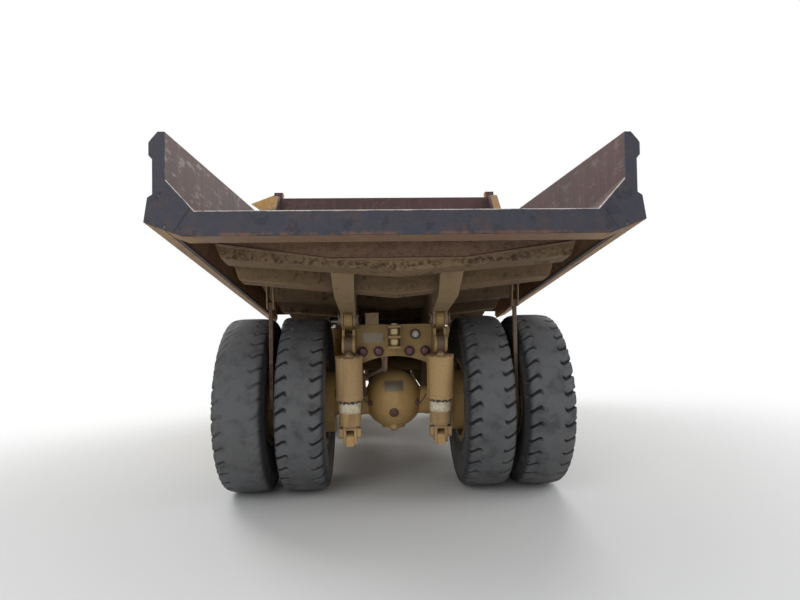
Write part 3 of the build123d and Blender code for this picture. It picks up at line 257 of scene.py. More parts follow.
def net(rows, columns, round_rows=False, round_columns=False):
    """Quads between the neighbours of a grid, closed round either way if asked."""
    i = np.arange(rows - (not round_rows))[:, None]
    j = np.arange(columns - (not round_columns))[None, :]
    over, along = (i + 1) % rows, (j + 1) % columns
    corners = [i * columns + j, i * columns + along, over * columns + along, over * columns + j]
    return np.stack([c + 0 * (i + j) for c in corners], -1).reshape(-1, 4)


def outward(points, groups):
    """The groups of faces, turned round if together they enclose a negative volume."""
    total = 0.0
    for group in groups:
        for k in range(1, group.shape[1] - 1):
            first, second = points[group[:, k]], points[group[:, k + 1]]
            total += np.einsum("ij,ij->", points[group[:, 0]], np.cross(first, second))
    return [group[:, ::-1] if total < 0 else group for group in groups]


def dressed(mesh, finish, sharp=None):
    """Gives a mesh its finish and smooth shading, broken where faces meet at over an angle in degrees."""
    mesh.polygons.foreach_set("use_smooth", np.ones(len(mesh.polygons), bool))
    if sharp:
        mesh.set_sharp_from_angle(angle=math.radians(sharp))
    mesh.materials.clear()
    mesh.materials.append(finish)


def round_edges(made, width, segments=2, sharp=35):
    """Rounds a piece's edges where faces meet at over an angle in degrees."""
    ease = made.modifiers.new("ease", "BEVEL")
    ease.width, ease.segments, ease.limit_method = width, segments, "ANGLE"
    ease.angle_limit, ease.harden_normals = math.radians(sharp), True
    return ease


def shown(name, shells, finish, body="chassis", smooth=40.0, ease=0.0):
    """One object out of closed shells of (points, groups of faces). It rides on a body."""
    points, faces, start = [], [], 0
    for shell_points, groups in shells:
        for group in outward(shell_points, [np.atleast_2d(g) for g in groups]):
            faces += (group + start).tolist()
        points.append(shell_points)
        start += len(shell_points)
    mesh = bpy.data.meshes.new(name)
    mesh.from_pydata(np.concatenate(points).tolist(), [], faces)
    dressed(mesh, finish, smooth)
    made = placed(name, mesh)
    if ease:
        round_edges(made, ease)
    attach(made, body)
    return made


REAR_AXLE_Y, FRONT_AXLE_Y, AXLE_Z = 1.850, -1.860, 0.930
PITCHES = 37
# places along one pitch, close together at a groove's two edges
PITCH_STEPS = np.array((0.0, 0.13, 0.26, 0.345, 0.385, 0.43, 0.50, 0.57, 0.615, 0.655, 0.74, 0.87))
# one half of the section, from the seat on the rim to the tread's middle: side offset, radius
TYRE_SECTION = np.array((
    (0.100, 0.4306), (0.188, 0.4306), (0.1885, 0.466), (0.190, 0.482), (0.199, 0.500), (0.207, 0.530),
    (0.211, 0.560), (0.2195, 0.566), (0.2235, 0.578), (0.229, 0.600), (0.2385, 0.640), (0.244, 0.690),
    (0.245, 0.730), (0.2475, 0.738), (0.2465, 0.760), (0.243, 0.790), (0.2405, 0.815), (0.238, 0.840),
    (0.2355, 0.862), (0.232, 0.880), (0.226, 0.895), (0.216, 0.9065), (0.203, 0.9145), (0.188, 0.9198),
    (0.171, 0.9231), (0.154, 0.9254), (0.137, 0.9270), (0.121, 0.9281), (0.108, 0.9288), (0.098, 0.9291),
    (0.070, 0.9296), (0.025, 0.9300)))
# where a groove starts beside the tyre's middle, how far it runs and how deep it is, in metres,
# and how wide its sloping sides are, in pitches
GROOVE_START, GROOVE_REACH, GROOVE_DEPTH, GROOVE_SLOPE = 0.098, 0.132, 0.050, 0.050
# half a groove's width, how much more it has at its hook, both in pitches, and the hook's share of its length
GROOVE_HALF, HOOK_MORE, HOOK_SHARE = 0.075, 0.030, 0.45
# radii between which a groove fades out down the shoulder
SHOULDER_LOW, SHOULDER_HIGH = 0.790, 0.840
# how far a groove's line climbs, in pitches, at places from its inner end to the shoulder
GROOVE_PLACES = (0.0, 0.14, 0.28, 0.50, 0.75, 1.0)
GROOVE_CLIMB = (0.0, -0.10, -0.14, -0.05, 0.08, 0.20)


def rock_tyre(centre_x, axle_y, wear, turn):
    """A closed ring: the section carried round the axle, pushed in where a groove runs.

    A groove is a narrow band of each pitch. Its depth fades at its inner end and down the
    shoulder, and its line climbs to the truck's right with a hook at its inner end.
    """
    section = np.concatenate((TYRE_SECTION, (TYRE_SECTION * (-1, 1))[::-1]))
    offset, radius = section.T
    side = np.sign(offset)
    reach = np.clip((np.abs(offset) - GROOVE_START - 0.002) / GROOVE_REACH, 0, 1)
    climb = -side * np.interp(reach, GROOVE_PLACES, GROOVE_CLIMB)
    fade = np.clip((np.abs(offset) - GROOVE_START) / 0.030, 0, 1)
    fade *= np.clip((radius - SHOULDER_LOW) / (SHOULDER_HIGH - SHOULDER_LOW), 0, 1)
    fade = fade * fade * (3 - 2 * fade)
    along = unit(np.gradient(section, axis=0))
    inward = np.stack((along[:, 1], -along[:, 0]), -1)
    inward *= -np.sign((inward * section).sum(1, keepdims=True))
    pitch = (np.arange(PITCHES)[:, None] + PITCH_STEPS[None, :]).reshape(-1, 1)
    half = GROOVE_HALF + HOOK_MORE * (1 - np.clip(reach / HOOK_SHARE, 0, 1)) ** 2
    groove = 1 - np.clip((np.abs(pitch % 1 - 0.5) - half) / GROOVE_SLOPE, 0, 1)
    groove = groove * groove * (3 - 2 * groove)
    uneven = 0.5 + 0.5 * np.sin(np.floor(pitch) * 12.9 + side * 1.7 + turn * 5)
    chips = 0.5 + 0.5 * np.sin(pitch * 9.1 + offset * 61.0 + turn)
    depth = groove * fade * (GROOVE_DEPTH - wear * (0.7 + 0.5 * uneven)) + 0.005 * chips ** 4 * fade
    angle = (pitch + climb) * (2 * np.pi / PITCHES) + turn
    x = centre_x + offset + inward[:, 0] * depth
    r = radius + inward[:, 1] * depth
    points = np.stack((x, axle_y + r * np.cos(angle), AXLE_Z + r * np.sin(angle)), -1)
    return points.reshape(-1, 3), [net(len(angle), len(offset), True, True)]


def tyre_rubber(name, axle_y):
    """Dark rubber: a pale worn tread, painted shade in the grooves and a dusty sidewall, told apart by
    radius.
    """
    p = Paint(name, roughness=0.85)
    x, y, z = p.axes(p.place())
    dy, dz = y - axle_y, z - AXLE_Z
    radius = (dy * dy + dz * dz) ** 0.5
    broad, patch, fine = p.noise(1.7, 5.0), p.noise(7.0, 7.0), p.noise(70.0, 5.0)
    tread = radius.between(0.893, 0.921)
    colour = p.mix(patch.between(0.35, 0.7), (51, 52, 55), (67, 68, 71))
    colour = p.mix(tread * patch.between(0.2, 0.6), colour, (86, 87, 89))
    dusty = (broad * 0.6 + fine * 0.5).between(0.44, 0.74) * (0.7 - tread * 0.45)
    colour = p.mix(dusty, colour, (100, 95, 88))
    # painted shade: the rubber is darkened at the grooves' floors and on the shoulder just below the tread
    sunk = radius.between(0.80, 0.85) * (1 - radius.between(0.888, 0.912))
    colour = p.mix(sunk * 0.75, colour, (44, 44, 46))
    scuffs = p.noise(13.0, 8.0, 0.75, stretch=(0.5, 2.0, 2.0)).between(0.58, 0.66) * tread
    colour = p.mix(scuffs * 0.55, colour, (74, 74, 76))
    p.bump(patch * 0.5 + fine * 0.3 - scuffs * 0.3, 0.006, 0.6)
    return p.put(base_color=colour, roughness=0.94 - tread * 0.16)


# node, body, axle, wheel centres with how much of the groove's depth is worn away
for k, (node, body, axle_y, places) in enumerate((
        ("tyres_rear_left", "rear_wheel_left", REAR_AXLE_Y, ((0.940, 0.010), (1.530, 0.041))),
        ("tyres_rear_right", "rear_wheel_right", REAR_AXLE_Y, ((-0.940, 0.008), (-1.530, 0.008))),
        ("tyre_front_left", "front_wheel_left", FRONT_AXLE_Y, ((1.550, 0.012),)),
        ("tyre_front_right", "front_wheel_right", FRONT_AXLE_Y, ((-1.550, 0.012),)))):
    shells = [rock_tyre(x, axle_y, wear, 0.31 + 0.7 * k + 1.3 * j) for j, (x, wear) in enumerate(places)]
    tyre = shown(f"rock_{node}", shells, tyre_rubber(f"rubber_{node}", axle_y), body, smooth=32)
    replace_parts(tyre, node)


# Rims. Steel rims with bolted flanges and a planetary drive cover behind, painted yellow and
# browned by dust and leaking oil. A ring of nuts holds each rim's disc to its hub.

def paint_tones(p, coat, faded, bare, chipped=0.35, dust=0.35, runs=0.3, rough=0.6, worn_edge=0.5, seed=0.0):
    """Colour, roughness and relief of painted steel that has worked outdoors.

    The coat fades in broad patches, chips to rust in small ones and along its edges, rust runs
    down from the chips, and pale dust lies on what faces up.
    """
    broad, patch = p.noise(0.8, 4.0, shift=seed), p.noise(6.0, 8.0, 0.68, shift=seed)
    fine, speck = p.noise(45.0, 6.0, shift=seed), p.noise(19.0, 8.0, 0.75, shift=seed + 3)
    run = p.noise(9.0, 6.0, 0.6, stretch=(1.0, 1.0, 0.07), shift=seed)
    edge = p.corner(0.011).between(0.02, 0.16) * speck.between(0.36, 0.56) * worn_edge
    chips = (patch * 0.62 + speck * 0.38).between(0.66 - chipped * 0.28, 0.72 - chipped * 0.28)
    colour = p.mix(broad.between(0.3, 0.72), coat, faded)
    colour = p.mix(fine.between(0.3, 0.75) * 0.22, colour, bare)
    colour = p.mix(run.between(0.50, 0.74) * runs, colour, bare)
    rust = p.mix(speck.between(0.35, 0.65), bare, (70, 44, 32))
    colour = p.mix(chips * 0.85, colour, rust)
    colour = p.mix(edge, colour, (150, 138, 126))
    up = p.axes(p.facing())[2]
    lying = (up.between(0.25, 0.95) * 0.75 + 0.25) * (broad * 0.5 + fine * 0.5).between(0.36, 0.62) * dust
    colour = p.mix(lying, colour, (158, 142, 118))
    return colour, rough + chips * 0.18 + lying * 0.25 - edge * 0.1, fine * 0.25 + chips * -0.6 + patch * 0.5


def weathered(name, coat, faded, bare, shine=0.0, depth=0.0035, **wear):
    """A material of painted steel."""
    p = Paint(name, metallic=shine)
    colour, rough, relief = paint_tones(p, coat, faded, bare, **wear)
    p.bump(relief, depth, 0.7)
    return p.put(base_color=colour, roughness=rough)


BODY_OF = {node: body for body, nodes in frame["record"]["behaviour"]["bodies"].items() for node in nodes}


def merged(mesh, reach, *faces_after, flat=0.6):
    """Joins a mesh's points within reach and its faces within a flat angle in degrees."""
    shape = bmesh.new()
    shape.from_mesh(mesh)
    bmesh.ops.remove_doubles(shape, verts=shape.verts, dist=reach)
    if flat:
        bmesh.ops.dissolve_limit(shape, angle_limit=math.radians(flat), verts=shape.verts, edges=shape.edges)
    for step in faces_after:
        step(shape, faces=shape.faces)
    shape.to_mesh(mesh)
    shape.free()


def plain_copy(node):
    """A CAD node's mesh copied, with its loose triangles merged to flat faces, as an object."""
    mesh = frame["nodes"][node].data.copy()
    if "custom_normal" in mesh.attributes:
        mesh.attributes.remove(mesh.attributes["custom_normal"])
    merged(mesh, 1e-5, bmesh.ops.connect_verts_concave)
    return placed(f"{node}_dressed", mesh)


def eased(nodes, finish, width=0.004, segments=2):
    """CAD nodes copied, fused where there are several, and their edges rounded.

    The piece stands for the nodes and rides on the first one's body.
    """
    first, *others = nodes.split()
    made = plain_copy(first)
    for other in others:
        joined = plain_copy(other)
        union = made.modifiers.new("union", "BOOLEAN")
        union.object, union.operation, union.solver = joined, "UNION", "EXACT"
        fused = bpy.data.meshes.new_from_object(made.evaluated_get(bpy.context.evaluated_depsgraph_get()))
        made.modifiers.clear()
        made.data = fused
        bpy.data.objects.remove(joined)
    if others:
        merged(made.data, 2e-4)
    dressed(made.data, finish, 32)
    if width:
        round_edges(made, width, segments, 38).miter_outer = "MITER_ARC"
    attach(made, BODY_OF[first])
    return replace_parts(made, first, *others)


def turns(count, start=0.0):
    """Angles evenly round a circle."""
    return np.linspace(0, 2 * np.pi, count, endpoint=False) + start


def rod(radius, sides, turn=0.0):
    """The outline of a round bar, in two dimensions."""
    return radius * np.stack((np.cos(turns(sides, turn)), np.sin(turns(sides, turn))), -1)


def tube(rows, columns):
    """The faces of a closed tube: its wall and its two ends."""
    end = np.arange(columns)
    return [net(rows, columns, round_columns=True), end[::-1], end + (rows - 1) * columns]


def turned(profile, centre, axis, count=32):
    """A closed lathe shape: each (along, radius) of a profile is a ring round the axis, its ends filled."""
    along, radius = np.array(profile, float).T
    axis = unit(axis)
    side = unit(np.cross(axis, UP if abs(axis[2]) < 0.9 else BACK))
    spoke = rod(1, count) @ (side, np.cross(axis, side))
    points = np.array(centre) + along[:, None, None] * axis + radius[:, None, None] * spoke
    return points.reshape(-1, 3), tube(len(along), count)


def bolts(places, axis, radius=0.016, height=0.018):
    """Hexagon heads on washers, all facing one way, as one shell for each place."""
    head = [(-0.002, radius * 1.55), (0.003, radius * 1.55), (0.003, radius), (height * 0.8, radius),
            (height, radius * 0.8)]
    points, groups = turned(head, (0, 0, 0), axis, count=6)
    return [(points + place, groups) for place in np.array(places, float).reshape(-1, 3)]


def circle(centre, radius, count, axis="x", turn=0.0):
    """Points round a circle about an axis of the truck."""
    return np.array(centre) + np.insert(rod(radius, count, turn), "xyz".index(axis), 0, axis=1)


SIDES = (("left", 1), ("right", -1))
rim_paint = weathered("rim_paint", (150, 118, 62), (134, 108, 66), (92, 62, 38), chipped=0.5, dust=0.6,
                      runs=0.5, seed=1.0)
nut_steel = weathered("nut_steel", (92, 80, 62), (80, 70, 58), (74, 48, 32), chipped=0.6, dust=0.5, seed=2.0)
for side, sign in SIDES:
    # node, axle, each nut ring's place from the middle, its radius and how many nuts it has
    for node, y, nut_rings in (
            (f"rim_front_{side}", FRONT_AXLE_Y, ((1.610, 0.300, 20), (1.610, 0.225, 16))),
            (f"rims_rear_{side}", REAR_AXLE_Y, ((1.255, 0.345, 24), (1.660, 0.190, 12), (1.660, 0.060, 5)))):
        eased(node, rim_paint, width=0.003)
        nuts = [nut for x, radius, count in nut_rings
                for nut in bolts(circle((sign * x, y, AXLE_Z), radius, count), (sign, 0, 0), 0.017, 0.024)]
        shown(f"nuts_{node}", nuts, nut_steel, BODY_OF[node], smooth=30)


# Dump body. Thick wear plate welded into an open box with a raised floor edge and box rails
# along the walls. Rock has scraped its inside to brown bare plate; outside it is faded paint.

# the tail's rear face, the floor's height there and how much the floor falls for each metre forward
TAIL_Y, FLOOR_TAIL_Z, FLOOR_SLOPE = 4.075, 2.650, 0.158
# places from the truck's middle: the sloping corner plate's foot and head, and the ribs' feet
WALL_FOOT, WALL_INSIDE, RIB_INSIDE = 1.470, 1.675, 1.692


def plate_tones(p, seed=0.0):
    """Colour, roughness and relief of bare wear plate: maroon-brown rust with paler upright streaks."""
    broad, patch, fine = p.noise(1.1, 5.0, shift=seed), p.noise(7.0, 8.0, 0.7, shift=seed), p.noise(60.0, 6.0)
    streak = p.noise(14.0, 5.0, 0.6, stretch=(1.0, 1.0, 0.05), shift=seed)
    thin = p.noise(60.0, 4.0, 0.6, stretch=(1.0, 1.0, 0.03), shift=seed + 5)
    colour = p.mix(broad.between(0.32, 0.70), (78, 50, 47), (67, 46, 45))
    colour = p.mix(streak.between(0.46, 0.66) * 0.6, colour, (92, 64, 58))
    colour = p.mix(thin.between(0.52, 0.70) * 0.5, colour, (58, 42, 41))
    colour = p.mix(patch.between(0.56, 0.66) * 0.5, colour, (98, 63, 52))
    scraped = (patch * 0.5 + p.noise(22.0, 7.0, 0.7, stretch=(1.0, 0.12, 1.0)) * 0.5).between(0.52, 0.60)
    floor_like = p.axes(p.facing())[2].between(0.5, 0.9)
    colour = p.mix(scraped * (0.05 + floor_like * 0.7), colour, (132, 122, 116))
    colour = p.mix(fine.between(0.35, 0.7) * 0.3, colour, (66, 48, 44))
    return colour, 0.68 - scraped * 0.15 + fine * 0.1, patch * 0.6 + streak * 0.25 + fine * 0.15


def tub_steel():
    """One finish for floor and walls, told apart by place.

    Inside the load space it is bare plate, outside it is faded golden paint, and the tail's rear
    face is dark steel, darkened further and tinted blue-grey as painted shade under the sky, with a
    seam at each corner. Its upper edge is worn white.
    """
    p = Paint("tub_steel")
    x, y, z = p.axes(p.place())
    wide = p.maths("ABSOLUTE", x)
    patch, fine = p.noise(9.0, 8.0, 0.7, shift=4.0), p.noise(60.0, 6.0)
    wall_rise = p.maths("MAXIMUM", (wide - WALL_FOOT) * 1.122, 0.0)
    above = z - FLOOR_TAIL_Z + (TAIL_Y - y) * FLOOR_SLOPE - wall_rise
    inside = above.between(-0.006, -0.002) * (1 - wide.between(1.678, 1.684))
    inner, inner_rough, inner_relief = plate_tones(p)
    outer, outer_rough, outer_relief = paint_tones(
        p, (176, 134, 70), (152, 114, 66), (108, 68, 44), chipped=0.44, dust=0.4, runs=0.6, rough=0.7,
        seed=7.0)
    brown = p.mix(patch.between(0.35, 0.65), (134, 108, 88), (110, 82, 68))
    outer = p.mix(1 - wide.between(1.42, 1.52), outer, brown)
    facing_x, _, facing_z = p.axes(p.facing())
    outer = p.mix((1 - (facing_x * x).between(-1.2, -0.6)) * 0.85, outer, brown)
    downward = 1 - facing_z.between(-0.5, -0.2)
    outer = p.mix(downward * (0.35 + patch.between(0.4, 0.6) * 0.4), outer, (134, 106, 82))
    colour = p.mix(inside, outer, inner)
    tail = y.between(4.060, 4.068)
    # the tail's rear face: dark steel, darkened further and tinted blue-grey as painted shade under the sky
    steel = p.mix(patch.between(0.40, 0.62) * 0.75, (50, 51, 62), (64, 57, 61))
    steel = p.mix(fine.between(0.40, 0.70) * 0.4, steel, (44, 44, 54))
    steel = p.mix((patch * 0.6 + fine * 0.4).between(0.56, 0.64) * 0.6, steel, (84, 56, 48))
    low = (1 - above.between(-0.176, -0.150)) * (1 - wide.between(1.3, 1.6)) * patch.between(0.40, 0.60)
    steel = p.mix(low * 0.7, steel, (116, 80, 62))
    across = p.maths("ABSOLUTE", (wide - 1.520) * 0.840 + (z - 2.641) * 0.543)
    seam = (1 - across.between(0.003, 0.008)) * wide.between(1.49, 1.52)
    steel = p.mix(seam * 0.8, steel, (38, 36, 38))
    colour = p.mix(tail, colour, steel)
    lip = y.between(4.040, 4.060) * (1 - wide.between(1.670, 1.674))
    rim = p.maths("ABSOLUTE", above + (patch - 0.5) * 0.014)
    worn = (1 - rim.between(0.003, 0.009 + wide.between(1.46, 1.48) * 0.006)) * lip
    corner = p.corner(0.012).between(0.03, 0.14) * patch.between(0.42, 0.58) * (1 - tail) * 0.7
    bright = p.maths("MAXIMUM", worn * (patch.between(0.30, 0.42) * 0.6 + 0.4), corner)
    colour = p.mix(bright * 0.9, colour, (208, 200, 192))
    relief = inner_relief * inside + outer_relief * (1 - inside) - seam * tail * 1.5
    p.bump(relief, 0.004, 0.7)
    rough = inner_rough * inside + outer_rough * (1 - inside) - bright * 0.2
    return p.put(base_color=colour, roughness=rough)


eased("body_floor body_side_left body_side_right", tub_steel(), width=0.005)


def two_faced(name, axis, seed, **outer):
    """Bare plate on the side that faces along an axis of the truck, paint on the rest."""
    p = Paint(name)
    facing = p.axes(p.facing())["xyz".index(axis)].between(0.3, 0.5)
    inner, inner_rough, inner_relief = plate_tones(p, seed)
    outside, rough, relief = paint_tones(p, seed=seed, **outer)
    p.bump(inner_relief * facing + relief * (1 - facing), 0.004, 0.7)
    rough = inner_rough * facing + rough * (1 - facing)
    return p.put(base_color=p.mix(facing, outside, inner), roughness=rough)


eased("body_front_wall", two_faced("front_wall_steel", "y", 3.0, coat=(150, 112, 70), faded=(128, 94, 62),
                                   bare=(92, 60, 46), chipped=0.5, dust=0.35, runs=0.6, rough=0.7),
      width=0.006)
canopy_paint = weathered("canopy_paint", (206, 162, 82), (188, 146, 80), (112, 72, 46), chipped=0.35,
                         dust=0.4, runs=0.4, rough=0.62, depth=0.0015, seed=9.0)
eased("body_canopy", canopy_paint, width=0.005)


def carried(outline, path, up=UP, closed=False):
    """A bar: a flat outline of (side, rise) points carried along a path, its ends filled unless it closes.

    At each path point the outline stands square to the mean of the two runs that meet there.
    """
    outline, path = np.array(outline, float), np.array(path, float)
    runs = unit(np.diff(path, axis=0, append=path[:1]) if closed else np.diff(path, axis=0))
    if closed:
        ahead = unit(runs + np.roll(runs, 1, axis=0))
    else:
        ahead = unit(np.concatenate((runs[:1], runs[:-1] + runs[1:], runs[-1:])))
    side = unit(np.cross(ahead, up))
    rise = np.cross(side, ahead)
    points = path[:, None] + outline[None, :, :1] * side[:, None] + outline[None, :, 1:] * rise[:, None]
    rows, columns = len(path), len(outline)
    return points.reshape(-1, 3), [net(rows, columns, True, True)] if closed else tube(rows, columns)


def square(width, height):
    """The outline of a flat bar, its middle on the path."""
    a, b = width / 2, height / 2
    return [(-a, -b), (a, -b), (a, b), (-a, b)]


def oblong(middle, width, height, axis="z"):
    """The corners of a rectangle about its middle, flat across an axis of the truck."""
    return np.array(middle) + np.insert(square(width, height), "xyz".index(axis), 0.0, axis=1)


def slab(middle, size):
    """A plate or box about its middle."""
    middle, half = np.array(middle, float), np.array((0, size[1] / 2, 0))
    return carried(square(size[0], size[2]), [middle - half, middle + half])


def block(low, high):
    """A plate or box between two corners."""
    return slab((np.array(low, float) + high) / 2, np.array(high, float) - low)


def smooth_path(points, step=0.03):
    """Places close together on a Catmull-Rom curve through the points."""
    points = np.array(points, float)
    padded = np.concatenate((2 * points[:1] - points[1:2], points, 2 * points[-1:] - points[-2:-1]))
    parts = []
    for a, b, c, d in zip(padded, padded[1:], padded[2:], padded[3:]):
        t = np.linspace(0, 1, max(2, int(np.linalg.norm(c - b) / step)), endpoint=False)[:, None]
        parts.append(0.5 * (2 * b + (c - a) * t + (2 * a - 5 * b + 4 * c - d) * t ** 2
                            + (3 * b - a - 3 * c + d) * t ** 3))
    return np.concatenate((*parts, points[-1:]))


def pipe(points, radius, sides=10, step=0.03, up=UP):
    """A round pipe or hose on a smooth line through the points."""
    return carried(rod(radius, sides), smooth_path(points, step), up)


def swollen(outline, path, swell, up=UP, closed=False):
    """A bar whose outline grows by a factor at each path point."""
    points, groups = carried(outline, path, up, closed)
    middle = np.repeat(path, len(outline), axis=0)
    return middle + (points - middle) * np.repeat(swell, len(outline))[:, None], groups


RIPPLE = 0.014


def bead(start, end, radius=0.006, up=UP):
    """A weld bead from one point to another: a rod with even ripples."""
    start, end = np.array(start, float), np.array(end, float)
    length = np.linalg.norm(end - start)
    along = np.linspace(0, 1, max(4, int(length / (RIPPLE / 2))))
    swell = 1 + 0.22 * np.sin(along * length * 2 * np.pi / RIPPLE)
    return swollen(rod(radius, 5), start + (end - start) * along[:, None], swell, up)


def floor_line(y, drop=0.0):
    """The height of the floor's upper face at a place along the truck, less a drop."""
    return FLOOR_TAIL_Z - FLOOR_SLOPE * (TAIL_Y - y) - drop


# Underside of the body. Rust-brown pitted beams with tan dust, and hinge arms whose broad flanges,
# round knobs and weld beads show from behind.

def beam_steel():
    """Cross beams: dark rusty plate high up, tan paint and dust low down, with rust pits between."""
    p = Paint("cross_beam_steel")
    x, y, z = p.axes(p.place())
    wide, rear_beam = p.maths("ABSOLUTE", x), y.between(3.69, 3.71)
    rise = p.maths("MAXIMUM", wide - 0.53, 0.0) * 0.142
    pits, fine, patch = p.noise(34.0, 6.0, 0.8), p.noise(80.0, 5.0), p.noise(5.0, 7.0, 0.7)
    streak = p.noise(16.0, 6.0, 0.7, stretch=(0.12, 1.0, 1.0))
    colour, rough, relief = paint_tones(p, (126, 103, 72), (106, 84, 62), (88, 60, 44), chipped=0.40,
                                        dust=0.3, runs=0.25, rough=0.78, worn_edge=0.5, seed=12.0)
    high = (z - (2.330 + rise) + (streak - 0.5) * 0.05).between(-0.012, 0.012) * rear_beam
    brown = p.mix(patch.between(0.35, 0.65), (124, 95, 76), (102, 78, 64))
    brown = p.mix(fine.between(0.35, 0.65) * 0.5, brown, (140, 112, 86))
    colour = p.mix(high, colour, brown)
    edge_line = (1 - p.maths("ABSOLUTE", z - 2.204 - rise)).between(0.984, 0.996)
    colour = p.mix(edge_line * rear_beam * 0.8, colour, (72, 40, 32))
    low_band = 1 - p.maths("ABSOLUTE", z - 2.262 - wide * 0.079).between(0.006, 0.05)
    holes = (pits * 0.7 + streak * 0.3).between(0.52, 0.56) * (0.25 + low_band * rear_beam * 0.75)
    colour = p.mix(holes * 0.8, colour, (62, 36, 28))
    p.bump(relief + fine * 0.3 - holes * 1.5, 0.005, 0.8)
    return p.put(base_color=colour, roughness=rough)


under_paint = weathered("underside_paint", (142, 120, 88), (124, 101, 74), (98, 68, 46), chipped=0.30,
                        dust=0.25, runs=0.35, rough=0.75, worn_edge=0.6, seed=12.0)
beam_paint = beam_steel()
eased("body_cross_beams", beam_paint, width=0.008)
eased("body_underframe", under_paint, width=0.005)
HINGE_Y, HINGE_Z = 2.500, 1.845
flanges, knobs, welds = [], [], []
for sign in (1, -1):
    path = np.array(((2.582, 1.924), (3.19, 2.054), (3.498, 2.279)))
    half = np.array((0.074, 0.088, 0.098))[:, None, None]
    over = np.array((0.0, 0.013))[None, :, None]
    # four corners at each of the profile's points: left and right, lower and upper
    x = sign * 0.460 + half * np.array((-1.0, 1.0))[None, None, :] + 0 * over
    y = path[:, 0, None, None] - over * 0.3 + 0 * x
    z = path[:, 1, None, None] - 0.013 + over + 0 * x
    points = np.stack((x, y, z), -1)[:, [0, 0, 1, 1], [0, 1, 1, 0]]
    flanges.append((points.reshape(-1, 3), tube(3, 4)))
    knobs.append(turned([(0.0, 0.022), (0.010, 0.022), (0.016, 0.016)], (sign * 0.385, 2.60, 2.09),
                        (-sign, 0, 0), 14))
    for x in (sign * 0.385, sign * 0.535):
        welds.append(bead(*((x, y, floor_line(y, 0.024)) for y in (2.60, 3.48))))
        welds.append(bead(*((x, 3.165, z) for z in (2.11, floor_line(3.165, 0.03))), up=BACK))
    for y, z, middle_z in ((3.724, 2.56, 2.566), (3.164, 2.478, 2.478)):
        welds.append(bead((sign * 1.36, y, z), (0, y, middle_z), 0.007))
shown("arm_flanges", flanges, under_paint, "dump_body", ease=0.003)
shown("arm_knobs", knobs, under_paint, "dump_body")
shown("underside_welds", welds, under_paint, "dump_body")
ledge = carried([(-0.004, -0.014), (0.014, -0.004), (0.014, 0.006), (-0.004, 0.014)],
                [(x, 3.723, z) for x, z in ((1.40, 2.452), (0.53, 2.328), (-0.53, 2.328), (-1.40, 2.452))])
shown("beam_ledge", [ledge], beam_paint, "dump_body", ease=0.002)

# Seams of the tub. Weld beads along its inner corners and round the outside ribs, and a filler bar
# where each wall's low rail meets the lip.

FIRST_RIB_Y, RIB_STEP = 3.300, 0.750
tub_welds = []
for sign in (1, -1):
    for x, rise in ((WALL_FOOT, 0.0), (WALL_INSIDE, 0.230)):
        tub_welds.append(bead(*((sign * x, y, floor_line(y) + rise) for y in (4.060, -0.44))))
    for y in FIRST_RIB_Y - RIB_STEP * np.arange(5):
        for edge in (y - 0.050, y + 0.050):
            ends = [(sign * RIB_INSIDE, edge, z) for z in (floor_line(y) + 0.10, 3.010)]
            tub_welds.append(bead(*ends, 0.005, BACK))
    tub_welds.append(bead(*((sign * RIB_INSIDE, y, 3.008) for y in (4.06, -0.10))))
weld_steel = weathered("weld_steel", (112, 84, 66), (100, 76, 62), (84, 54, 40), chipped=0.4, dust=0.2,
                       rough=0.62, seed=15.0)
shown("tub_welds", tub_welds, weld_steel, "dump_body")
fillers = [carried([(-0.012, -0.012), (0.012, -0.012), (0.012, 0.02), (-0.012, 0.02)],
                   [(sign * 1.681, y, floor_line(y, 0.112)) for y in (4.071, 0.2)]) for sign in (1, -1)]
shown("rail_fillers", fillers, weathered("filler_steel", (84, 80, 84), (84, 74, 72), (84, 54, 40), dust=0.1,
                                         seed=16.0), "dump_body")

# Body hinge and rock ejectors. Two big pins held by keeper plates join the body's arms to the
# frame, and flat bars of bare rusty steel hang between the twin tyres.

pin_steel = weathered("pin_steel", (120, 104, 84), (104, 90, 74), (82, 56, 40), chipped=0.5, dust=0.5,
                      rough=0.5, shine=0.4, seed=30.0)
keepers = []
for sign in (1, -1):
    for x, face in ((0.373, -1), (0.547, 1)):
        centre = (sign * x, HINGE_Y, HINGE_Z)
        keepers.append(turned([(-0.004, 0.062), (0.006, 0.062), (0.010, 0.058)], centre,
                              (sign * face, 0, 0), 28))
        keepers += bolts(circle(centre, 0.046, 4, turn=0.8) + (sign * face * 0.008, 0, 0),
                         (sign * face, 0, 0), 0.009, 0.010)
shown("hinge_keepers", keepers, pin_steel, "dump_body")
bar_steel = weathered("ejector_steel", (108, 88, 68), (94, 78, 64), (84, 58, 44), chipped=0.7, dust=0.5,
                      rough=0.7, seed=31.0)
for side in ("left", "right"):
    eased(f"ejector_bar_{side}", bar_steel, width=0.004)

# Body hoist. Two telescopic cylinders with painted barrels, ground chrome stages and wiper rings
# bolted on where each stage leaves the next.

cylinder_paint = weathered("cylinder_paint", (164, 130, 66), (148, 116, 64), (98, 64, 40), chipped=0.3,
                           dust=0.5, runs=0.4, seed=32.0)


def chrome(name, seed):
    """Ground chrome with fine scratches round it and a film of dusty oil."""
    p = Paint(name, metallic=1.0)
    film, scratch = p.noise(6.0, 6.0, 0.7, shift=seed), p.noise(160.0, 3.0, stretch=(0.2, 0.2, 3.0))
    colour = p.mix(film.between(0.45, 0.7) * 0.55, (206, 206, 208), (140, 126, 104))
    p.bump(scratch, 0.0004, 0.5)
    return p.put(base_color=colour, roughness=0.16 + film * 0.22 + scratch * 0.08)


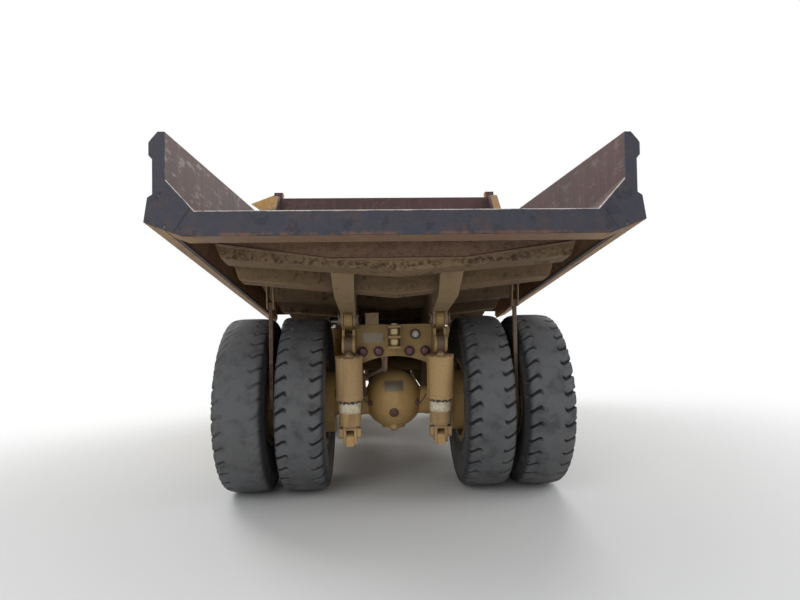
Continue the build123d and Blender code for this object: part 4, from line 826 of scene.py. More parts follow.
rod_chrome = chrome("rod_chrome", 33.0)
barrel_axis = np.array((0.0, -0.13633, 0.990664))
for side, sign in SIDES:
    eased(f"hoist_barrel_{side}", cylinder_paint, width=0.003)
    for part in ("stage", "rod"):
        eased(f"hoist_{part}_{side}", rod_chrome, width=0.002)
    base = np.array((sign * 0.722, 0.700, 0.710))
    trim = [turned(profile, base + barrel_axis * along, barrel_axis, 40) for along, profile in (
        (0.962, [(0.0, 0.0955), (0.004, 0.099), (0.034, 0.099), (0.040, 0.0955)]),
        (0.180, [(0.0, 0.0955), (0.003, 0.0985), (0.022, 0.0985), (0.026, 0.0955)]))]
    shown(f"hoist_collars_{side}", trim, cylinder_paint, body=f"hoist_barrel_{side}", smooth=30)

# Frame. Two deep box rails of welded plate in dusty golden paint with rust at their edges, a rear
# plate arched over the axle, and steel pipes clipped along the rails.

frame_paint = weathered("frame_paint", (156, 126, 72), (140, 112, 68), (96, 64, 42), chipped=0.30,
                        dust=0.40, runs=0.45, rough=0.66, seed=20.0)
eased("main_frame", frame_paint, width=0.005)
eased("steering_beam", frame_paint, width=0.005)
# the rear plate's rear face
PLATE_Y = 2.330
frame_welds = [bead((sign * 0.385, PLATE_Y + 0.001, 1.50), (sign * 0.385, PLATE_Y + 0.001, 1.78), 0.006,
                    up=BACK) for sign in (1, -1)]
arch = np.linspace(-0.55, 0.55, 90)
arch_line = np.stack((0.806 * np.sin(arch), 0 * arch + PLATE_Y - 0.004, 0.659 + 0.806 * np.cos(arch)), -1)
arch_line = arch_line[np.abs(arch_line[:, 0]) < 0.383]
frame_welds.append(carried([(-0.006, -0.006), (0.006, -0.006), (0.008, 0.004), (0.0, 0.008), (-0.008, 0.004)],
                           arch_line))
shown("frame_welds", frame_welds, frame_paint)
pipe_steel = weathered("pipe_steel", (92, 84, 70), (80, 74, 64), (70, 50, 38), chipped=0.2, dust=0.6,
                       rough=0.5, shine=0.3, seed=34.0)
pipes, clips = [], []
for sign in (1, -1):
    for z in (1.300, 1.335):
        pipes.append(pipe([(sign * 0.548, y, z + rise) for y, rise in (
            (-1.15, 0), (-0.5, 0), (0.2, 0), (0.60, 0), (0.85, 0.06), (1.05, 0.14), (1.35, 0.15))], 0.009, 8))
    for y in (-1.0, -0.6, 0.3):
        clips.append(slab((sign * 0.5475, y, 1.3175), (0.027, 0.04, 0.069)))
shown("rail_pipes", pipes, pipe_steel)
shown("rail_clips", clips, pipe_steel, ease=0.003)

# Rear plate fittings. Tow plates with a worn pin, four red lamps in rubber rims, a finned valve
# box on top, a plain data plate and a round warning horn with a perforated face.

eased("tow_hitch", frame_paint, width=0.004)
worn_pin = weathered("worn_pin", (196, 178, 132), (176, 156, 112), (120, 84, 56), chipped=0.2, dust=0.4,
                     rough=0.5, seed=35.0)
sleeves = [turned([(low, 0.0255), (low + 0.003, 0.036), (high - 0.003, 0.036), (high, 0.0255)], (0, 2.480, 0),
                  UP, 28) for low, high in ((1.582, 1.638), (1.686, 1.744))]
sleeves.append(turned([(1.7765, 0.034), (1.792, 0.034), (1.798, 0.028)], (0, 2.480, 0), UP, 6))
shown("tow_pin_sleeves", sleeves, worn_pin)
CHEEK_Y = PLATE_Y + 0.019
cheek = [(0.0, 0.0), (0.070, 0.0), (0.020, 0.232), (0.0, 0.232)]
cheeks = [carried(cheek, [(x + thick, CHEEK_Y, 1.545) for thick in (0, 0.012)]) for x in (-0.074, 0.062)]
cheeks = [(points * (1, -1, 1) + (0, 2 * CHEEK_Y, 0), groups) for points, groups in cheeks]
shown("tow_cheeks", cheeks, frame_paint, ease=0.003)

rubber = weathered("lamp_rubber", (46, 44, 44), (56, 52, 50), (70, 62, 54), chipped=0.2, dust=0.35,
                   worn_edge=0.0, rough=0.8, seed=36.0)
red = Paint("red_lens", base_color=(88, 22, 34), roughness=0.25, coat_weight=0.3, ior=1.49)
dull = red.noise(30.0, 6.0, 0.7)
prisms = red.node("TexVoronoi", {"feature": "F1"}, {"Vector": red.place(), "Scale": 150.0})
lens_colour = red.mix(dull.between(0.45, 0.70) * 0.5, red.mix(prisms.between(0.2, 0.7), (104, 22, 36),
                                                              (64, 14, 26)), (92, 66, 62))
red.bump(prisms, 0.002, 0.6)
red.put(base_color=lens_colour, roughness=0.2 + dull * 0.3)
rims, lenses = [], []
for x in (-0.325, -0.160, 0.160, 0.325):
    place = (x, PLATE_Y, 1.508)
    rims.append(turned([(-0.001, 0.052), (0.028, 0.052), (0.033, 0.049), (0.033, 0.044),
                        (0.022, 0.042)], place, BACK, 36))
    lenses.append(turned([(0.020, 0.0415), (0.028, 0.0415), (0.032, 0.037), (0.0345, 0.026), (0.036, 0.010),
                          (0.036, 0.002)], place, BACK, 36))
lamp_rims = shown("tail_lamp_rims", rims, rubber, smooth=35)
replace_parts(lamp_rims, "tail_lamps")
shown("tail_lamp_lenses", lenses, red.material, smooth=50)

box_paint = weathered("valve_box_paint", (172, 146, 104), (158, 132, 92), (110, 80, 54), chipped=0.2,
                      dust=0.5, seed=37.0)
valve_box = [block((0.158, 2.215, 1.784), (0.290, 2.312, 1.898))]
valve_box += [block((0.152, 2.208, z), (0.296, 2.320, z + 0.007)) for z in np.arange(1.794, 1.895, 0.0155)]
valve_box.append(block((0.150, 2.205, 1.898), (0.298, 2.322, 1.908)))
shown("valve_box", valve_box, box_paint, ease=0.002)
plate_metal = weathered("data_plate_metal", (128, 120, 106), (114, 108, 96), (92, 74, 58), chipped=0.25,
                        dust=0.5, rough=0.45, shine=0.5, seed=38.0)
data_plate = [block((0.116, PLATE_Y - 0.001, 1.596), (0.315, PLATE_Y + 0.004, 1.700))]
data_plate += bolts([(x, PLATE_Y + 0.003, z) for x in (0.126, 0.305) for z in (1.606, 1.690)], BACK,
                    0.004, 0.003)
shown("data_plate", data_plate, plate_metal, ease=0.001)

horn_place = np.array((-0.222, PLATE_Y, 1.682))
horn = [turned([(-0.001, 0.050), (0.034, 0.050), (0.042, 0.046), (0.042, 0.043), (0.036, 0.041)], horn_place,
               BACK, 40)]
shown("horn_shell", horn, rubber, smooth=35)
face = [turned([(0.030, 0.041), (0.0375, 0.041), (0.0405, 0.036), (0.0410, 0.002)], horn_place, BACK, 40)]
pale_mark = weathered("horn_mark_paint", (214, 210, 200), (196, 192, 180), (110, 100, 90), chipped=0.15,
                      worn_edge=0.0, seed=39.0)
shown("horn_face", face, rubber, smooth=40)
holes = [turned([(0.0405, 0.0068), (0.0422, 0.0068), (0.0424, 0.004)], place, BACK, 12)
         for radius, count, turn in ((0.0, 1, 0.0), (0.014, 6, 0.5), (0.028, 10, 0.2))
         for place in circle(horn_place, radius, count, "y", turn)]
shown("horn_marks", holes, pale_mark)

# Rear suspension struts. Thick oil and gas cylinders hung from the frame, with bolted heads and
# glands, a charging valve on top and what is left of torn dust boots below a pale dusty band.

STRUT_TOP, STRUT_LOW = np.array((0.460, 2.500, 1.590)), np.array((0.460, 2.400, 0.650))
strut_axis = unit(STRUT_LOW - STRUT_TOP)
p = Paint("strut_paint")
colour, rough, relief = paint_tones(p, (180, 148, 98), (164, 133, 90), (112, 76, 50), chipped=0.22,
                                    dust=0.35, runs=0.6, rough=0.62, seed=40.0)
# painted shade: the cylinder's top, where it meets the frame overhead, is darkened
grime = p.axes(p.place())[2] + (p.noise(30.0, 6.0, 0.75) - 0.5) * 0.08
colour = p.mix(grime.between(1.475, 1.500) * 0.8, colour, (58, 46, 40))
p.bump(relief, 0.004, 0.7)
strut_paint = p.put(base_color=colour, roughness=rough)
p = Paint("strut_tube_paint")
colour, rough, relief = paint_tones(p, (176, 145, 96), (158, 128, 86), (112, 76, 50), chipped=0.28,
                                    dust=0.3, runs=0.5, rough=0.66, seed=41.0)
x, y, z = p.axes(p.place())
ragged = z + (p.noise(26.0, 6.0, 0.75) - 0.5) * 0.05
band = ragged.between(0.900, 0.916) * (1 - ragged.between(1.010, 1.022))
pale_band = p.mix(p.noise(30.0, 5.0).between(0.4, 0.7), (214, 206, 184), (172, 152, 116))
colour = p.mix(band * 0.85, colour, pale_band)
# painted shade: the rod is darkened just under the torn boot's hanging edge
painted_boot_shade = ragged.between(1.012, 1.030)
colour = p.mix(painted_boot_shade * 0.7, colour, (56, 44, 36))
p.bump(relief, 0.004, 0.7)
tube_paint = p.put(base_color=colour, roughness=rough)
eased("rear_strut_cylinders", strut_paint, width=0.005)
eased("rear_strut_rods", tube_paint, width=0.005)
boot_rubber = weathered("boot_rubber", (58, 46, 40), (70, 56, 46), (96, 66, 46), chipped=0.4, dust=0.3,
                        worn_edge=0.0, rough=0.85, seed=42.0)
PRONG = [(-0.052, 0.0), (0.052, 0.0), (0.052, -0.075), (0.030, -0.105), (-0.030, -0.105), (-0.052, -0.075)]
glands, boots, prongs = [], [], []
for sign in (1, -1):
    top = STRUT_TOP * (sign, 1, 1)
    other = np.cross(strut_axis, LEFT)
    for start, profile in ((0.118, [(0.0, 0.118), (0.004, 0.1375), (0.030, 0.1375), (0.034, 0.1352)]),
                           (0.508, [(0.0, 0.1352), (0.004, 0.1385), (0.038, 0.1385), (0.044, 0.116)])):
        glands.append(turned(profile, top + strut_axis * start, strut_axis, 48))
    ring = top + rod(0.124, 12) @ (LEFT, other)
    glands += bolts(ring + strut_axis * 0.550, strut_axis, 0.010, 0.012)
    glands += bolts(ring[::2] + strut_axis * 0.1205, -strut_axis, 0.010, 0.010)
    valve = top + strut_axis * 0.117 + other * 0.082
    glands.append(turned([(-0.004, 0.020), (0.018, 0.020), (0.020, 0.009), (0.040, 0.009),
                          (0.042, 0.006)], valve, -strut_axis, 6))
    # the torn boot: a thin ring whose lower edge hangs down unevenly
    around = turns(72)
    hang = 0.020 + 0.016 * np.sin(around * 3 + sign) ** 2
    hang += 0.012 * np.sin(around * 11 + 2 * sign) * np.sin(around * 5)
    spoke = rod(1, len(around)) @ (LEFT, other)
    upper = top + strut_axis * 0.548
    lower = upper + strut_axis * hang[:, None]
    rows = [upper + spoke * 0.1165, upper + spoke * 0.1205, lower + spoke * 0.1195, lower + spoke * 0.1155]
    boots.append((np.stack(rows, 1).reshape(-1, 3), [net(len(around), len(rows), True, True)]))
    for x in (-0.090, 0.090):
        prongs.append(carried(PRONG, [(top[0] + x + end, 2.408, 0.745) for end in (-0.019, 0.019)]))
shown("strut_prongs", prongs, tube_paint, ease=0.003)
shown("strut_glands", glands, strut_paint, smooth=30)
shown("strut_boots", boots, boot_rubber, smooth=50)

# Rear axle. A round cast housing with a drain boss, brown plugs and a plain plate, brake pipes out
# to the drums, an A-frame ahead of it and a track rod up to the frame.

axle_paint = weathered("axle_paint", (188, 153, 90), (174, 140, 86), (120, 84, 54), chipped=0.12, dust=0.45,
                       runs=0.35, rough=0.6, seed=43.0, depth=0.0025)
eased("rear_axle_housing", axle_paint, width=0.006)
eased("axle_a_frame", frame_paint, width=0.006)
eased("drive_shaft", cylinder_paint, width=0.003)
DOME, DOME_RADIUS = np.array((0.0, 1.850, 0.955)), 0.320


def on_dome(x, z, out=0.0):
    """The point of the axle's rear dome at a place seen from behind, moved outwards by a little."""
    reach = math.sqrt(DOME_RADIUS ** 2 - x * x - (z - DOME[2]) ** 2)
    point = np.array((x, DOME[1] + reach, z))
    return DOME + (point - DOME) * (1 + out / DOME_RADIUS)


# the dome's plate: two curved sheets of points in rows, and a wall round their edges
across, up = np.meshgrid(np.linspace(-0.100, 0.100, 13), np.linspace(1.066, 1.170, 7))
depth = np.sqrt(DOME_RADIUS ** 2 - across ** 2 - (up - DOME[2]) ** 2)
sheet = np.stack((across, DOME[1] + depth, up), -1).reshape(-1, 3)
grid_faces, spots = net(*across.shape), np.arange(across.size).reshape(across.shape)
edge = np.concatenate((spots[0], spots[1:, -1], spots[-1, -2::-1], spots[-2:0:-1, 0]))
wall = np.stack((edge, np.roll(edge, -1), np.roll(edge, -1) + len(sheet), edge + len(sheet)), -1)
plate_points = np.concatenate((DOME + (sheet - DOME) * (1 - 0.004), DOME + (sheet - DOME) * (1 + 0.010)))
dome_plate = [(plate_points, [grid_faces[:, ::-1], grid_faces + len(sheet), wall])]
dome_plate += [bolt for x, z in ((-0.09, 1.076), (0.09, 1.076), (-0.09, 1.160), (0.09, 1.160))
               for bolt in bolts(on_dome(x, z, 0.003), on_dome(x, z) - DOME, 0.004, 0.003)]
shown("dome_plate", dome_plate, plate_metal, smooth=30)
oily = weathered("oily_plug", (96, 62, 48), (84, 54, 42), (58, 38, 32), chipped=0.4, dust=0.2, rough=0.4,
                 seed=44.0)
plugs = [turned([(-0.006, 0.052), (0.006, 0.052), (0.010, 0.046), (0.010, 0.030), (0.026, 0.030),
                 (0.030, 0.024)], on_dome(0.004, 0.842), on_dome(0.004, 0.842) - DOME, 24)]
plugs.append(turned([(-0.004, 0.036), (0.014, 0.036), (0.018, 0.030)], (0, 1.980, 0.641), (0, 0, -1), 6))
for sign in (1, -1):
    spot = on_dome(sign * 0.245, 0.935)
    plugs.append(turned([(-0.006, 0.030), (0.014, 0.030), (0.016, 0.018), (0.034, 0.018)], spot,
                        spot - DOME, 6))
shown("axle_plugs", plugs, oily)
brake_pipes, brake_clips = [], []
for sign in (1, -1):
    start = on_dome(sign * 0.245, 0.935, 0.030)
    brake_pipes.append(pipe([start, start + (sign * 0.03, 0.03, 0.02), (sign * 0.335, 2.075, 1.000),
                             (sign * 0.400, 2.010, 1.045), (sign * 0.520, 2.000, 1.020),
                             (sign * 0.646, 1.990, 1.000)], 0.007, 8))
    brake_clips.append(slab((sign * 0.52, 1.9835, 1.020), (0.030, 0.057, 0.028)))
shown("brake_pipes", brake_pipes, pipe_steel)
shown("brake_clips", brake_clips, pipe_steel, ease=0.003)
link_line = [(0.100, 2.285, 1.330), (0.200, 2.230, 1.275), (0.325, 2.190, 1.222)]
link = [pipe(link_line, 0.017, 12)]
for centre in link_line[::2]:
    link.append(turned([(-0.022, 0.030), (-0.018, 0.034), (0.018, 0.034), (0.022, 0.030)], centre, BACK, 20))
    link.append(turned([(-0.040, 0.014), (0.040, 0.014)], centre, BACK, 6))
shown("track_rod", link, bar_steel, smooth=35)
hanger = [carried([(-0.024, 0.0), (0.024, 0.0), (0.034, 0.160), (-0.034, 0.160)],
                  [(0.100, y, 1.300), (0.100, y + 0.010, 1.300)]) for y in (2.248, 2.312)]
hanger += [carried([(-0.030, -0.190), (0.030, -0.190), (0.022, 0.026), (-0.022, 0.026)],
                   [(0.325, y, 1.222), (0.325, y + 0.010, 1.222)]) for y in (2.152, 2.218)]
hanger.append(block((0.285, 1.960, 1.028), (0.365, 2.228, 1.048)))
hanger.append(block((0.060, 2.255, 1.452), (0.140, 2.322, 1.470)))
shown("track_rod_brackets", hanger, bar_steel, ease=0.003)

# Engine and gearbox. Cast iron under oil and road dust: the plain block with bolted rocker covers,
# an exhaust log, a fan behind the radiator core, and ribs round the gearbox case.

cast_iron = weathered("cast_iron", (104, 98, 84), (88, 84, 76), (66, 48, 36), chipped=0.35, dust=0.5,
                      rough=0.62, depth=0.005, seed=50.0)
eased("engine_block", cast_iron, width=0.014)
eased("transmission", cast_iron, width=0.012)
covers, heads, exhaust = [], [], []
for sign in (1, -1):
    for y in np.arange(-3.10, -1.99, 0.215):
        x = sign * 0.165
        covers.append(slab((x, y, 2.0075), (0.190, 0.176, 0.065)))
        heads += bolts([(x + a, y + b, 2.039) for a in (-0.065, 0.065) for b in (-0.06, 0.06)], UP,
                       0.010, 0.010)
        exhaust.append(pipe([(sign * 0.325, y, 1.80), (sign * 0.375, y, 1.82),
                             (sign * 0.400, y, 1.87)], 0.028, 10))
    exhaust.append(turned([(0.0, 0.030), (0.01, 0.048), (1.19, 0.048), (1.20, 0.030)],
                          (sign * 0.405, -3.18, 1.89), BACK, 20))
shown("rocker_covers", covers, cast_iron, ease=0.010)
shown("rocker_bolts", heads, nut_steel, smooth=30)
shown("exhaust_logs", exhaust, weathered("exhaust_iron", (110, 72, 52), (92, 62, 48), (64, 42, 34),
                                         chipped=0.6, dust=0.3, rough=0.85, seed=51.0))
fan = [turned([(0.0, 0.06), (0.01, 0.085), (0.09, 0.085), (0.125, 0.055)], (0, -3.26, 1.72), FRONT, 24)]
for turn in turns(8):
    out, tilt = np.array((math.cos(turn), 0, math.sin(turn))), np.array((-math.sin(turn), 0, math.cos(turn)))
    fan.append(carried(square(0.14, 0.006), [(0, -3.33, 1.72) + out * r for r in (0.07, 0.20, 0.37)],
                       tilt * 0.5 + (0, 0.87, 0)))
shown("fan", fan, cast_iron, ease=0.001)
rib_line = ((0.284, 0.772), (0.284, 1.338), (-0.284, 1.338), (-0.284, 0.772))
ribs = [carried(square(0.030, 0.016), [(x, y, z) for x, z in rib_line], BACK, True)
        for y in (-0.74, -0.50, 0.05, 0.36)]
shown("gearbox_ribs", ribs, cast_iron, ease=0.004)
bolt_places = [(sign * x, y, z) for sign in (1, -1) for x, z, row in (
    (0.335, 1.249, (-0.26, -0.14)), (0.10, 1.329, (-0.6, -0.3, 0.15))) for y in row]
shown("gearbox_bolts", bolts(bolt_places, UP, 0.018, 0.02), nut_steel, smooth=30)

# Front suspension and steering. Painted struts that stand in frame towers, forged knuckles that
# turn on them, a tie rod between their arms and two small hydraulic cylinders.

eased("front_strut_cylinders", frame_paint, width=0.005)
forged = weathered("forged_steel", (146, 118, 70), (126, 104, 68), (84, 58, 42), chipped=0.45, dust=0.5,
                   runs=0.4, rough=0.72, depth=0.005, seed=52.0)
eased("tie_rod", forged, width=0.003)
strut_trim = []
for side, sign in SIDES:
    eased(f"knuckle_{side}", forged, width=0.005)
    eased(f"steer_barrel_{side}", cylinder_paint, width=0.002)
    eased(f"steer_rod_{side}", rod_chrome, width=0.0015)
    top = np.array((sign * 1.120, FRONT_AXLE_Y, 2.005))
    strut_trim.append(turned([(-0.001, 0.110), (0.012, 0.110), (0.016, 0.100)], top, UP, 32))
    strut_trim += bolts(circle(top + (0, 0, 0.015), 0.086, 8, "z"), UP, 0.009, 0.009)
    for z in (1.10, 1.62):
        strut_trim.append(turned([(0.0, 0.1300), (0.004, 0.1345), (0.036, 0.1345), (0.040, 0.1300)],
                                 top * (1, 1, 0) + (0, 0, z), UP, 40))
shown("front_strut_trim", strut_trim, frame_paint, smooth=30)

# Tanks. Rolled steel shells slung beside the rails on two straps each: fuel on the left with a
# filler neck and a level glass, hydraulic oil on the right with a cap and a bolted cover.

tank_paint = weathered("tank_paint", (206, 160, 74), (186, 146, 76), (118, 80, 48), chipped=0.25, dust=0.5,
                       runs=0.5, rough=0.55, seed=53.0)
eased("fuel_tank", tank_paint, width=0.006)
eased("hydraulic_tank", tank_paint, width=0.006)


def rounded(a0, a1, z0, z1, corner, steps, out=0.0):
    """Points round a rectangle with rounded corners, moved outwards by a little."""
    spots = []
    for k, (a, z) in enumerate(((a1 - corner, z0 + corner), (a1 - corner, z1 - corner),
                                (a0 + corner, z1 - corner), (a0 + corner, z0 + corner))):
        turn = np.linspace(0, np.pi / 2, steps) + (k - 1) * np.pi / 2
        spots.append(np.stack((a + (corner + out) * np.cos(turn), z + (corner + out) * np.sin(turn)), -1))
    return np.concatenate(spots)


straps, buckles, caps = [], [], []
for x0, x1, z0, z1, corner, places in ((0.950, 1.740, 0.760, 1.500, 0.110, (-0.36, 0.44)),
                                       (-1.480, -0.950, 0.800, 1.480, 0.090, (-0.26, 0.40))):
    outer, face = (x1, 1) if x1 > 0 else (x0, -1)
    for y in places:
        ring = np.insert(rounded(x0, x1, z0, z1, corner, 7, 0.003), 1, y, axis=1)
        straps.append(carried(square(0.006, 0.060), ring, BACK, True))
        buckles.append(slab((outer, y, z1 - 0.23), (0.024 + 0.008 * face, 0.090, 0.06)))
        buckles += bolts([(outer + face * 0.010, y + b, z1 - 0.23) for b in (-0.028, 0.028)],
                         (face, 0, 0), 0.009, 0.014)
caps.append(turned([(-0.004, 0.075), (0.040, 0.075), (0.044, 0.085), (0.075, 0.085), (0.082, 0.070)],
                   (1.600, 0.45, 1.494), (0.25, 0, 1), 28))
caps.append(turned([(-0.004, 0.055), (0.030, 0.055), (0.034, 0.064), (0.056, 0.064), (0.062, 0.050)],
                   (-1.300, 0.42, 1.478), UP, 28))
cover = np.array((-1.479, 0.08, 1.140))
caps.append(turned([(-0.004, 0.120), (0.012, 0.120), (0.016, 0.114)], cover, RIGHT, 36))
bolt_ring = bolts(circle(cover + (-0.015, 0, 0), 0.098, 8), RIGHT, 0.009, 0.010)
shown("tank_straps", straps, pipe_steel, ease=0.001)
shown("tank_buckles", buckles, pipe_steel, ease=0.002)
shown("tank_caps", caps, pin_steel, smooth=35, ease=0.002)
shown("tank_bolts", bolt_ring, nut_steel, smooth=30)
clear = Paint("sight_glass", base_color=(200, 190, 120), roughness=0.12, transmission_weight=0.6, ior=1.47)
level_line = clear.axes(clear.place())[2].between(1.215, 1.222)
clear.put(base_color=clear.mix(level_line, (150, 110, 40), (206, 204, 190)))
glasses = [block((1.738, 0.10, 1.080), (1.748, 0.13, 1.330)),
           block((-1.489, -0.12, 1.060), (-1.478, -0.09, 1.310))]
shown("sight_glasses", glasses, clear.material, ease=0.003)

# Bumper, decks and ladders. Thick folded plate in golden paint, scuffed along its edges. What a boot
# stands on has a raised lozenge pattern; ladders and rails are dark steel tube.

front_paint = weathered("front_paint", (208, 164, 76), (190, 150, 78), (118, 78, 48), chipped=0.30, dust=0.45,
                        runs=0.4, rough=0.55, seed=60.0)
eased("front_bumper", front_paint, width=0.010)
p = Paint("tread_plate_paint")
colour, rough, relief = paint_tones(p, (196, 154, 78), (176, 140, 80), (112, 76, 50), chipped=0.35, dust=0.6,
                                    rough=0.6, seed=61.0)
x, y, z = p.axes(p.place())
across, along = p.maths("SINE", x * 105.0), p.maths("SINE", y * 105.0)
turned_cell = (across * along).between(-0.05, 0.05)
wide = 1 - p.maths("MULTIPLY", across, across)
long = 1 - p.maths("MULTIPLY", along, along)
lozenge = (1 - wide * (5.0 * turned_cell + 1.0) - long * (6.0 - 5.0 * turned_cell)).between(0.05, 0.55)
lozenge = lozenge * p.axes(p.facing())[2].between(0.8, 0.95)
colour = p.mix(lozenge * p.noise(9.0, 5.0).between(0.35, 0.6) * 0.6, colour, (140, 128, 110))
p.bump(lozenge * 1.0 + relief * 0.4, 0.003, 1.0)
eased("decks", p.put(base_color=colour, roughness=rough - lozenge * 0.1), width=0.005)
rail_steel = weathered("rail_steel", (56, 54, 52), (70, 66, 60), (96, 66, 46), chipped=0.30, dust=0.45,
                       rough=0.5, worn_edge=0.8, seed=62.0)
eased("ladders_and_handrails", rail_steel, width=0.002, segments=1)
studs, rung_y = [], [(-4.000, 0.455), (-4.000, 0.615)]
rung_y += [(-3.990 + 0.290 * 0.18 * k / 0.95, 1.165 + 0.18 * k) for k in range(1, 5)]
for y, z in rung_y:
    spots = [(sign * x, y + b, z - 0.001) for sign in (1, -1) for x in np.arange(1.10, 1.41, 0.05)
             for b in (-0.018, 0.018)]
    studs += [turned([(0.0, 0.012), (0.006, 0.008)], spot, UP, 6) for spot in spots]
shown("rung_studs", studs, rail_steel, smooth=30)
tow_eyes = []
for sign in (1, -1):
    tow_eyes.append(carried(rod(0.018, 8), circle((sign * 0.46, -3.96, 0.690), 0.050, 20), LEFT, True))
    tow_eyes.append(slab((sign * 0.46, -3.96, 0.732), (0.10, 0.10, 0.020)))
shown("front_tow_eyes", tow_eyes, forged, ease=0.002)
shown("bumper_bolts", bolts([(sign * x, y, 1.139) for x in (0.42, 0.50) for sign in (1, -1)
                             for y in (-3.95, -3.87)], UP, 0.018, 0.02), nut_steel, smooth=30)

# Headlamps. Two round lamps in each steel box: pressed rims held by three screws, and ribbed glass
# over a bright bowl.

eased("headlamps", rail_steel, width=0.008)
lens = Paint("headlamp_glass", base_color=(220, 224, 222), roughness=0.08, coat_weight=0.8, ior=1.5)
x, y, z = lens.axes(lens.place())
ribs = lens.maths("SINE", x * 700.0)
dusty = lens.noise(14.0, 6.0, 0.7)
lens.bump(ribs, 0.0008, 0.8)
lens.put(base_color=lens.mix(dusty.between(0.40, 0.65) * 0.5, (206, 212, 212), (164, 150, 124)),
         roughness=0.1 + dusty * 0.4)
bezels, bowls = [], []
for x in (-0.865, -0.695, 0.695, 0.865):
    place = (x, -4.035, 1.235)
    bezels.append(turned([(-0.004, 0.078), (0.020, 0.078), (0.027, 0.073), (0.027, 0.066),
                          (0.012, 0.064)], place, FRONT, 32))
    bezels += bolts(circle((x, -4.052, 1.235), 0.071, 3, "y", 0.5), FRONT, 0.004, 0.008)
    bowls.append(turned([(0.008, 0.0635), (0.016, 0.0635), (0.023, 0.050), (0.027, 0.025),
                         (0.028, 0.002)], place, FRONT, 32))
shown("headlamp_bezels", bezels, rail_steel, smooth=35)
shown("headlamp_lenses", bowls, lens.material, smooth=50)

# Hood and grille. Sheet steel with riveted louvre panels, lift handles and draw latches over the
# engine, and a woven wire guard behind the grille's bars.

eased("engine_hood", front_paint, width=0.012)
black_paint = weathered("grille_paint", (48, 46, 44), (62, 58, 52), (104, 70, 48), chipped=0.35, dust=0.5,
                        rough=0.6, seed=63.0)
eased("radiator_grille", black_paint, width=0.004)
louvres, latches, panels = [], [], []
for sign in (1, -1):
    face = sign * 0.620
    panels.append(slab((face + sign * 0.002, -2.33, 2.236), (0.004, 1.54, 0.232)))
    for y in np.arange(-2.98, -2.55 if sign < 0 else -1.62, 0.062):
        wedge = [(face, y, 2.16), (face, y, 2.31)]
        louvres.append(carried([(0.0, -0.022), (0.0, 0.022), (sign * 0.020, 0.012),
                                (sign * 0.020, 0.004)], wedge, BACK))
    for y in (-3.50, -1.48):
        latches.append(slab((face, y, 2.24), (0.012, 0.032, 0.10)))
        latch = [(face + sign * out, y, z)
                 for out, z in ((0.006, 2.20), (0.022, 2.215), (0.022, 2.265), (0.006, 2.28))]
        latches.append(pipe(latch, 0.005, 8, up=BACK))
for y0, y1 in ((-3.58, -2.62), (-2.58, -1.46)):
    panels.append(block((-0.54, y0, 2.399), (0.54, y1, 2.404)))
    for x in (-0.28, 0.28):
        latches.append(pipe([(x, (y0 + y1) / 2 + along, z) for along, z in (
            (-0.07, 2.402), (-0.065, 2.435), (0, 2.445), (0.065, 2.435), (0.07, 2.402))], 0.008, 8, up=LEFT))
shown("hood_panels", panels, front_paint, ease=0.0015)
shown("hood_louvres", louvres, front_paint, smooth=30)
shown("hood_latches", latches, rail_steel)
wires = [carried(square(0.004, 0.004), [(x, -3.662, 1.484), (x, -3.662, 2.316)], BACK)
         for x in np.arange(-0.52, 0.53, 0.04)]
wires += [carried(square(0.004, 0.004), [(-0.538, -3.658, z), (0.538, -3.658, z)])
          for z in np.arange(1.50, 2.31, 0.04)]
shown("grille_wire", wires, black_paint)
hood_bolts = bolts([(sign * 0.585, -3.699, z) for sign in (1, -1)
                    for z in np.arange(1.46, 2.37, 0.148)], FRONT, 0.010, 0.010)
shown("grille_bolts", hood_bolts, nut_steel, smooth=30)

# Air cleaners. Two spun steel cans with clamp bands and a stamped end cover, piped to the hood
# through rubber elbows with hose clips.

eased("air_cleaners", front_paint, width=0.010)
bands, elbows, clips, ends = [], [], [], []
for x, path in ((-0.940, [(-0.940, -2.72, 2.33), (-0.940, -2.58, 2.33), (-0.880, -2.49, 2.32),
                          (-0.760, -2.46, 2.27), (-0.618, -2.46, 2.24)]),
                (-1.440, [(-1.440, -2.72, 2.33), (-1.440, -2.50, 2.33), (-1.370, -2.36, 2.33),
                          (-1.200, -2.30, 2.31), (-0.900, -2.27, 2.26), (-0.618, -2.27, 2.24)])):
    for y in (-3.20, -2.98):
        bands.append(turned([(0.0, 0.2048), (0.002, 0.2085), (0.030, 0.2085), (0.032, 0.2048)], (x, y, 2.33),
                            BACK, 48))
        bands.append(slab((x, y + 0.016, 2.542), (0.04, 0.036, 0.020)))
        bands += bolts([(x + 0.02, y + 0.016, 2.543)], LEFT, 0.007, 0.014)
    ends.append(turned([(-0.002, 0.190), (0.010, 0.186), (0.014, 0.150), (0.014, 0.060), (0.026, 0.050),
                        (0.040, 0.048)], (x, -3.450, 2.33), FRONT, 40))
    ends.append(turned([(0.036, 0.030), (0.052, 0.030), (0.052, 0.016), (0.066, 0.014)], (x, -3.450, 2.33),
                       FRONT, 6))
    elbows.append(pipe(path, 0.076, 20))
    for k in (0, -1):
        place, ahead = np.array(path[k]), np.array(path[1 if k == 0 else -2]) - path[k]
        ahead = unit(ahead)
        clips.append(turned([(0.0, 0.0762), (0.001, 0.0795), (0.015, 0.0795), (0.016, 0.0762)],
                            place + ahead * 0.045, ahead, 28))
shown("cleaner_bands", bands, pipe_steel, smooth=35)
shown("cleaner_covers", ends, front_paint, smooth=30)
shown("cleaner_hoses", elbows, rubber, smooth=50)
shown("hose_clips", clips, pin_steel, smooth=35)

# Battery box and mirrors. A welded box with a hinged lid and draw latch, and flat mirror glass in
# black moulded heads held to their arms by clamps.

